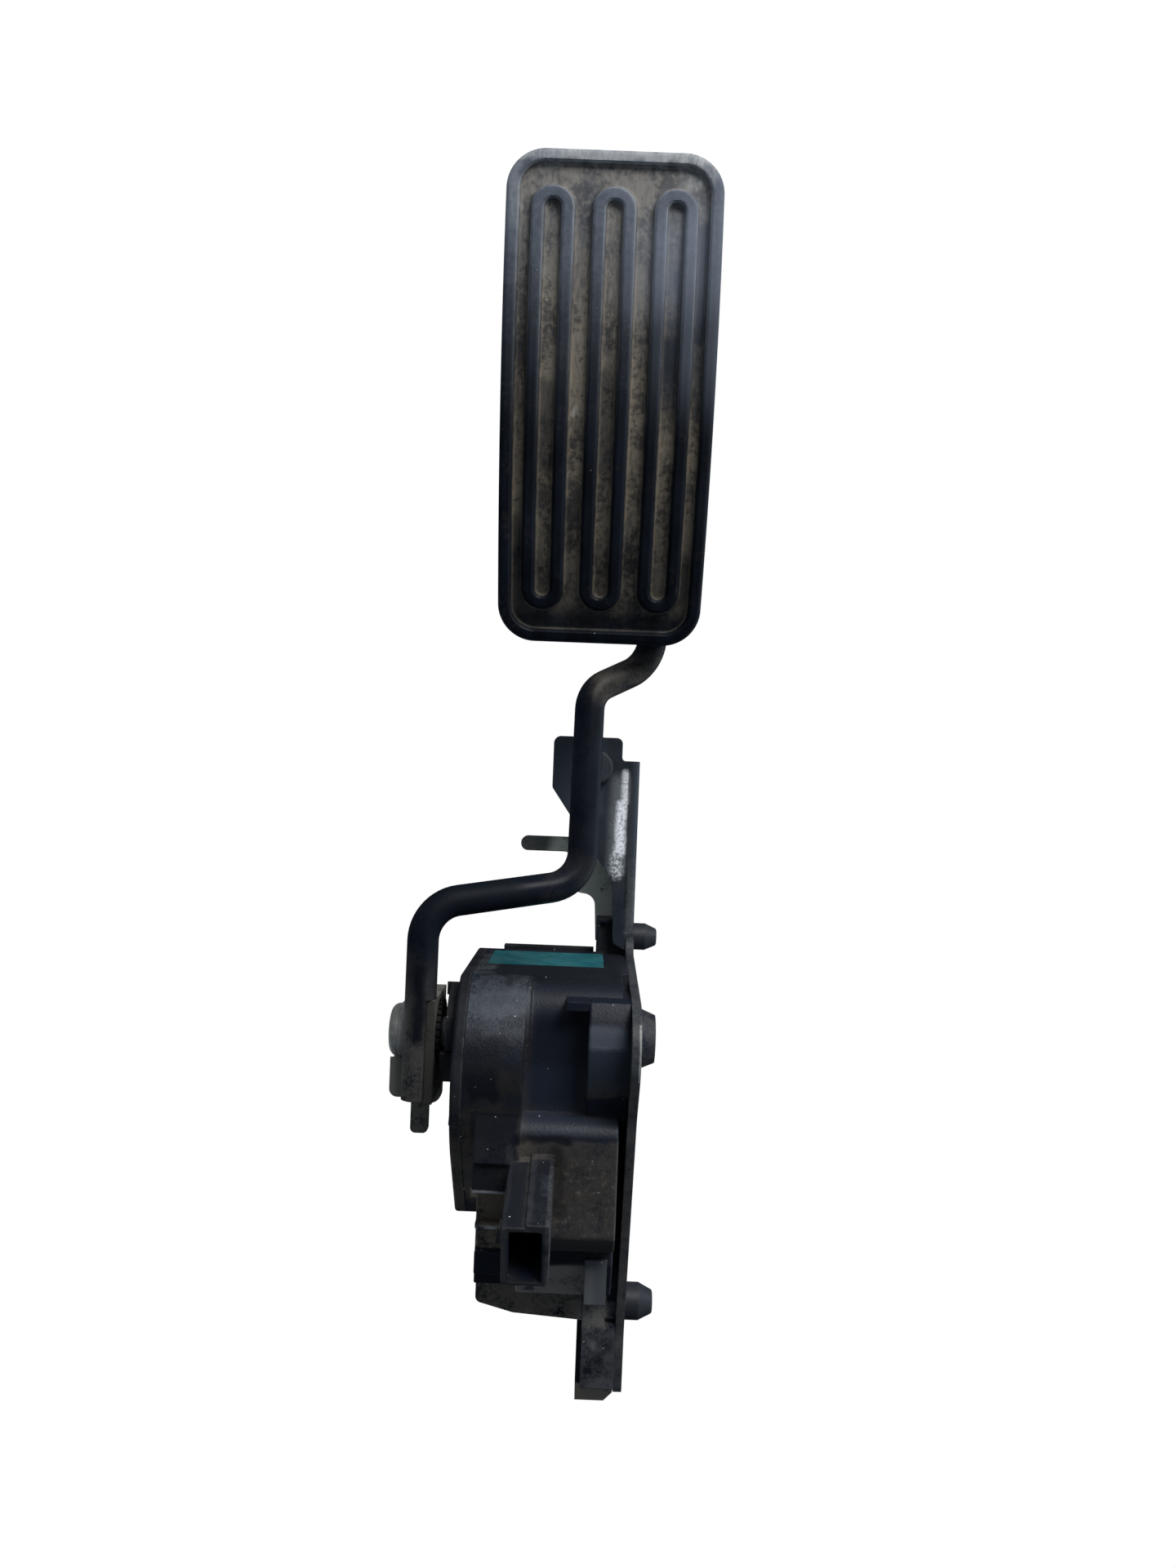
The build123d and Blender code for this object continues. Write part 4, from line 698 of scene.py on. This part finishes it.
def padSurface(shape):
    halfW, halfL, corner = shape["width"] / 2, shape["length"] / 2, shape["corner"]
    rowIn = inwardSteps(halfL, shape, shape["fineEnds"])
    columnIn = inwardSteps(halfW, shape, halfW - shape["coarseMiddle"])
    along = np.unique(np.round(np.concatenate((rowIn - halfL, halfL - rowIn)), 6))
    share = np.unique(np.round(np.concatenate((columnIn / halfW - 1, 1 - columnIn / halfW)), 6))
    # half width of each row: full between the corners, then a quarter circle of the corner's radius
    past = np.clip(np.abs(along) - halfL + corner, 0, corner)
    rowHalf = halfW - corner + np.sqrt(corner ** 2 - past ** 2)
    across = rowHalf[:, None] * share[None, :]
    along = np.repeat(along[:, None], across.shape[1], 1)
    # distance in from the rounded outline
    qx = np.abs(across) - halfW + corner
    qy = np.abs(along) - halfL + corner
    inside = corner - np.hypot(np.maximum(qx, 0), np.maximum(qy, 0)) - np.minimum(np.maximum(qx, qy), 0)
    inside = np.maximum(inside, 0)
    # relief: 1 on the rim and on the ribs, 0 in the recess, with sloped shoulders
    relief = 1 - smooth(inside, shape["rim"] - shape["slopeIn"], shape["rim"] + shape["slopeOut"])
    ribHalf, ringR = shape["ringRib"] / 2, (shape["ringWidth"] - shape["ringRib"]) / 2
    beyond = np.maximum(np.abs(along) - (shape["ringLength"] / 2 - shape["ringWidth"] / 2), 0)
    for ring in (-1, 0, 1):
        off = np.abs(np.hypot(across - ring * shape["ringPitch"], beyond) - ringR)
        relief = np.maximum(relief, 1 - smooth(off, ribHalf - shape["slopeIn"], ribHalf + shape["slopeOut"]))
    # radius of the front, which drops in a quarter circle at its edge, and of the back with its lip
    rolled = shape["edgeRound"] - np.minimum(inside, shape["edgeRound"])
    drop = shape["edgeRound"] - np.sqrt(shape["edgeRound"] ** 2 - rolled ** 2)
    front = shape["faceRadius"] - shape["ribHeight"] * (1 - relief) - drop
    seat = shape["faceRadius"] - shape["rubber"] + shape["plateGap"]
    lip = 1 - smooth(inside, shape["lip"] - shape["lipSlope"], shape["lip"])
    back = seat - (shape["plate"] + shape["plateGap"]) * lip
    lean = math.radians(shape["lean"])
    outward = np.array((0, -math.cos(lean), math.sin(lean)))
    upward = np.array((0, math.sin(lean), math.cos(lean)))
    axis = np.array(shape["middle"]) - outward * shape["faceRadius"]

    def bowed(radius):
        # a point stands on a cylinder about the pad's axis, as high as its radius and place along it give
        rise = np.sqrt(radius ** 2 - along ** 2)
        return (axis + across[..., None] * np.array((1, 0, 0)) + along[..., None] * upward
                + rise[..., None] * outward) * mm

    points = np.concatenate((bowed(front).reshape(-1, 3), bowed(back).reshape(-1, 3)))
    rows, columns = across.shape
    index = np.arange(rows * columns).reshape(rows, columns)
    face = gridFaces(rows, columns)
    # front, back turned over, and a wall round the outline
    loop = np.concatenate((index[0, :-1], index[:-1, -1], index[-1, :0:-1], index[:0:-1, 0]))
    after = np.roll(loop, -1)
    low = rows * columns
    side = np.stack((loop, loop + low, after + low, after), -1)
    faces = np.concatenate((face, face[:, ::-1] + low, side))
    return points, faces, np.concatenate((relief.ravel(), np.ones(low)))


def makePad(shape):
    points, faces, relief = padSurface(shape)
    pad = makeMesh("padSkin", points, faces)
    height = pad.data.attributes.new("relief", "FLOAT", "POINT")
    height.data.foreach_set("value", relief.astype(np.float32))
    pad.data.polygons.foreach_set("use_smooth", np.ones(len(pad.data.polygons), bool))
    pad.data.set_sharp_from_angle(angle=math.radians(shape["sharpAngle"]))
    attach(pad, "pedal")
    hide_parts("pedal_pad")
    return pad


# Ramps give the values where each begins and ends, then what it goes from and to if not 0 and 1; those along
# the pad are in metres. Rows of spots give X, Z, half sizes and softness in mm, then a share. The far end of
# the pad is the pale one, and the near end lies next to the rod.
padLook = {
    "low": tone(5, 9, 17), "high": tone(14, 19, 28), "brown": tone(114, 105, 91), "grey": tone(121, 114, 103),
    # the blue-grey tone after brown and grey is the colour of the painted highlight
    "highlightTone": tone(128, 136, 150), "scuff": tone(176, 176, 174), "rough": 0.5, "dustRough": 0.88,
    "gloss": 0.16, "fineness": 1300.0, "bump": 0.35, "bumpDepth": 0.4, "streakBump": 0.4,
    "drawn": (1.0, 1.0, 0.2), "swayScale": 160.0, "swayDetail": 5.0, "swayRough": 0.6,
    "streaks": 150.0, "blots": 75.0,
    "dust": 0.84, "farDust": 0.68, "nearDust": 0.42, "rubbedDust": 0.5, "rubbedHighlight": 0.16, "smear": 0.05,
    "dullGain": 2.4, "speckCells": 360.0, "speckSize": 0.09, "speckShare": 0.08, "speckStrength": 0.5,
    "through": 100.0, "ragged": 2.0,
    "ramps": {
        "front": (0.1, -0.4), "sway": (0.38, 0.64), "recess": (0.8, 0.05),
        "far": (-0.16, -0.236), "near": (-0.19, -0.125), "nearFade": (-0.1225, -0.128, 0.15, 1.0),
        "side": (0.012, -0.006), "rubStart": (-0.17, -0.195), "rubEnd": (-0.236, -0.212),
        "streakFilm": (0.05, 0.7, 0.35, 1.0), "blotFilm": (0.2, 0.6, 0.3, 1.0),
        "footIn": (0.02, 0.14), "footOut": (0.5, 0.2), "footStreak": (0.2, 0.7, 0.08, 0.32),
        "crestIn": (0.5, 0.7), "crestOut": (0.97, 0.8), "crestStreak": (0.1, 0.8, 0.1, 0.34),
        "highlightBlot": (0.1, 0.8, 0.2, 0.34), "highlightHeight": (0.1, 0.9, 0.4, 1.0), "smear": (0.62, 0.95),
        "worn": (0.1, 0.8, 0.3, 1.0),
    },
    "wiped": [(32.7, -174, 2, 10, 5, 0.6), (15.7, -176, 2, 11, 5, 0.62), (-1.3, -188, 2, 8, 5, 0.5),
              (-10.5, -214, 4, 12, 6, 0.97), (43, -184, 1.5, 22, 5, 0.35), (41.5, -136, 2, 12, 6, 0.6),
              (-10, -134, 2, 4, 5, 0.6)],
    "rubs": [(17, -246.6, 25, 0.8, 2.4, 0.42), (-8, -243.5, 3.5, 2.5, 4, 0.4), (44, -236, 0.8, 9, 2.5, 0.16),
             (24.2, -178, 0.1, 1.2, 1.0, 0.3)],
    # the last rows are painted highlight spots on the rubbed side
    "highlightSpots": [(-7.5, -221, 2, 5, 18, 0.2), (3, -216, 2, 6, 14, 0.12)],
}


def padFinish(look):
    stuff = bpy.data.materials.new("padRubber")
    tree = emptyTree(stuff)
    coords = put(tree, "TexCoord").outputs
    place = coords["Object"]
    push = wander(tree, place)

    def ramp(name, value):
        return ease(tree, value, *look["ramps"][name])

    front = ramp("front", put(tree, "SeparateXYZ", {"Vector": coords["Normal"]}).outputs["Y"])
    height = put(tree, "Attribute", attribute_name="relief").outputs["Fac"]
    axes = put(tree, "SeparateXYZ", {"Vector": place}).outputs
    x, z = axes["X"], axes["Z"]
    drawn = calcVector(tree, "MULTIPLY", place, look["drawn"])
    sway = ramp("sway", cloud(tree, drawn, look["swayScale"], look["swayDetail"], look["swayRough"]))
    colour = blendTone(tree, sway, look["low"], look["high"])
    streaks = useGroup(tree, dustCloud, {"Place": drawn, "Blotch": look["streaks"]})["Spread"]
    blots = useGroup(tree, dustCloud, {"Place": place, "Blotch": look["blots"]})["Spread"]

    def spot(x, z, halfX, halfZ, soft, share):
        # right through the pad's thickness, on the faces that look to the front
        centre, half = (x, 0, z), (halfX, look["through"], halfZ)
        mask = patchMask(tree, place, push, centre, half, soft, look["ragged"])
        return times(tree, mask, times(tree, front, share))

    # dust lies in the recesses: less at both ends, where it was wiped and down the rubbed side
    far, near = ramp("far", z), ramp("near", z)
    rubbed = times(tree, ramp("side", x), times(tree, ramp("rubStart", z), ramp("rubEnd", z)))
    film = times(tree, ramp("streakFilm", streaks), ramp("blotFilm", blots))
    amount = blendValue(tree, near, blendValue(tree, far, look["dust"], look["farDust"]), look["nearDust"])
    for row in look["wiped"]:
        amount = times(tree, amount, calc(tree, "SUBTRACT", 1.0, spot(*row)))
    amount = calc(tree, "SUBTRACT", amount, times(tree, rubbed, look["rubbedDust"]), clamp=True)
    amount = times(tree, amount, ramp("nearFade", z))
    dirt = times(tree, ramp("recess", height), film, amount)
    colour = blendTone(tree, dirt, colour, blendTone(tree, far, look["brown"], look["grey"]))
    # thin pale line of dust at the foot of the rim and of the ribs
    foot = times(tree, ramp("footIn", height), ramp("footOut", height), ramp("footStreak", streaks))
    colour = blendTone(tree, foot, colour, look["brown"])
    # pale crests on the rim and the ribs towards the far end
    crest = times(tree, ramp("crestIn", height), ramp("crestOut", height), far, ramp("crestStreak", streaks))
    colour = blendTone(tree, times(tree, crest, front), colour, look["scuff"])
    # painted highlight: smooth paler rubber towards the far end and where the shoe rubs
    paintedHighlight = times(tree, far, far, ramp("highlightBlot", blots))
    paintedHighlight = calc(tree, "MAXIMUM", paintedHighlight, times(tree, rubbed, look["rubbedHighlight"]))
    paintedHighlight = times(tree, paintedHighlight, times(tree, front, ramp("highlightHeight", height)))
    colour = blendTone(tree, paintedHighlight, colour, look["highlightTone"])
    colour = blendTone(tree, times(tree, ramp("smear", blots), look["smear"]), colour, look["brown"])
    # painted highlight spots on the rubbed side
    for row in look["highlightSpots"]:
        colour = blendTone(tree, spot(*row), colour, look["highlightTone"])
    worn = ramp("worn", streaks)
    for row in look["rubs"]:
        colour = blendTone(tree, times(tree, spot(*row), worn), colour, look["scuff"])
    links = {"Place": place, "Cells": look["speckCells"], "Size": look["speckSize"],
             "Share": look["speckShare"]}
    dots = times(tree, useGroup(tree, paleSpecks, links)["Mask"], look["speckStrength"])
    colour = blendTone(tree, dots, colour, paleCrumb)
    dull = calc(tree, "MULTIPLY", calc(tree, "MAXIMUM", dirt, paintedHighlight), look["dullGain"], clamp=True)
    rough = blendValue(tree, dull, look["rough"], look["dustRough"])
    grain = useGroup(tree, mouldGrain, {"Place": place, "Fineness": look["fineness"]})["Height"]
    links = {"Height": blendValue(tree, look["streakBump"], grain, streaks), "Strength": look["bump"],
             "Distance": look["bumpDepth"] * mm}
    links = {"Base Color": colour, "Roughness": rough, "Normal": put(tree, "Bump", links).outputs["Normal"],
             "Metallic": 0.0, "Specular IOR Level": look["gloss"]}
    put(tree, "OutputMaterial", {"Surface": put(tree, "BsdfPrincipled", links).outputs[0]})
    return stuff


padSkin = makePad(padShape)
padSkin.data.materials.append(padFinish(padLook))
print("pad made with", len(padSkin.data.polygons), "faces")

# Plain studio: white room, one soft lamp low in front at the side, four wide ones above, behind and beside.
# Lamps give place, size and power; only the first shows in gloss.
studio = {
    "fill": 0.3, "backFill": 0.9, "fillRamp": (-0.2, 0.6), "fillTone": (0.72, 0.86, 1.0, 1.0),
    "room": 0.02, "lowRoom": 0.035, "lowRamp": (0.3, -0.7), "sideRoom": 1.0, "sideRamp": (-0.5, -0.95),
    "white": (1.0, 1.0, 1.0, 1.0), "floorTone": (0.86, 0.86, 0.86, 1.0), "floorGlow": 0.75,
    "floorZ": -0.9, "floorReach": 2.4, "floorLines": 9, "floorFade": (0.55, 0.25),
    "aim": (0.02, 0.0, -0.05), "shining": ("keyLamp",),
    "lamps": [("keyLamp", (-0.29, -0.44, -0.6), 0.36, 6.0), ("topLamp", (0.3, 0.4, 0.9), 0.8, 4.0),
              ("backLamp", (0.4, 1.0, 0.4), 0.8, 14.0), ("plateLamp", (-0.8, 0.65, 0.3), 0.7, 10.0),
              ("leverLamp", (0.85, 0.6, 0.3), 0.7, 9.0)],
}


def makeWorld(look):
    # the camera sees white all round; gloss sees a dim room, lighter low down and bright at the plate's side;
    # the bluish fill on the object is stronger from behind
    world = bpy.data.worlds.new("studioWorld")
    scene.world = world
    tree = emptyTree(world)
    path = put(tree, "LightPath").outputs
    sky = put(tree, "SeparateXYZ", {"Vector": put(tree, "TexCoord").outputs["Generated"]}).outputs
    around = ease(tree, sky["Z"], *look["lowRamp"], look["room"], look["lowRoom"])
    around = calc(tree, "ADD", around, ease(tree, sky["X"], *look["sideRamp"], 0.0, look["sideRoom"]))
    mirror = times(tree, around, calc(tree, "MAXIMUM", path["Is Glossy Ray"], path["Is Transmission Ray"]))
    seen = calc(tree, "MAXIMUM", path["Is Camera Ray"], mirror)
    soft = ease(tree, sky["Y"], *look["fillRamp"], look["fill"], look["backFill"])
    level = calc(tree, "MAXIMUM", seen, times(tree, path["Is Diffuse Ray"], soft))
    shade = blendTone(tree, path["Is Camera Ray"], look["fillTone"], look["white"])
    light = put(tree, "Background", {"Color": shade, "Strength": level})
    put(tree, "OutputWorld", {"Surface": light.outputs[0]})


def makeLamps(look):
    for name, spot, size, power in look["lamps"]:
        lamp = bpy.data.lights.new(name, "AREA")
        lamp.size = size
        lamp.energy = power
        holder = bpy.data.objects.new(name, lamp)
        holder.location = spot
        holder.rotation_euler = (Vector(look["aim"]) - Vector(spot)).to_track_quat("-Z", "Y").to_euler()
        holder.visible_glossy = name in look["shining"]
        scene.collection.objects.link(holder)


def makeFloor(look):
    # flat square grid under the object, its finish fading out into the white room with distance
    reach, lines = look["floorReach"], look["floorLines"]
    across, along = np.meshgrid(np.linspace(-reach, reach, lines), np.linspace(-reach, reach, lines))
    points = np.stack((across, along, np.full_like(across, look["floorZ"])), -1).reshape(-1, 3)
    floor = makeMesh("paleFloor", points, gridFaces(lines, lines))
    stuff = bpy.data.materials.new("paleFloor")
    tree = emptyTree(stuff)
    flat = calcVector(tree, "MULTIPLY", put(tree, "TexCoord").outputs["Object"], (1, 1, 0))
    near = ease(tree, calcVector(tree, "LENGTH", flat), *(share * reach for share in look["floorFade"]))
    coat = put(tree, "BsdfDiffuse", {"Color": look["floorTone"]})
    glow = put(tree, "Emission", {"Color": look["white"], "Strength": look["floorGlow"]})
    bright = put(tree, "AddShader", {0: coat.outputs[0], 1: glow.outputs[0]})
    clear = put(tree, "BsdfTransparent")
    faded = put(tree, "MixShader", {0: near, 1: clear.outputs[0], 2: bright.outputs[0]})
    put(tree, "OutputMaterial", {"Surface": faded.outputs[0]})
    floor.data.materials.append(stuff)
    floor.visible_glossy = False  # or undersides would mirror it


makeWorld(studio)
makeLamps(studio)
makeFloor(studio)
print("studio ready")
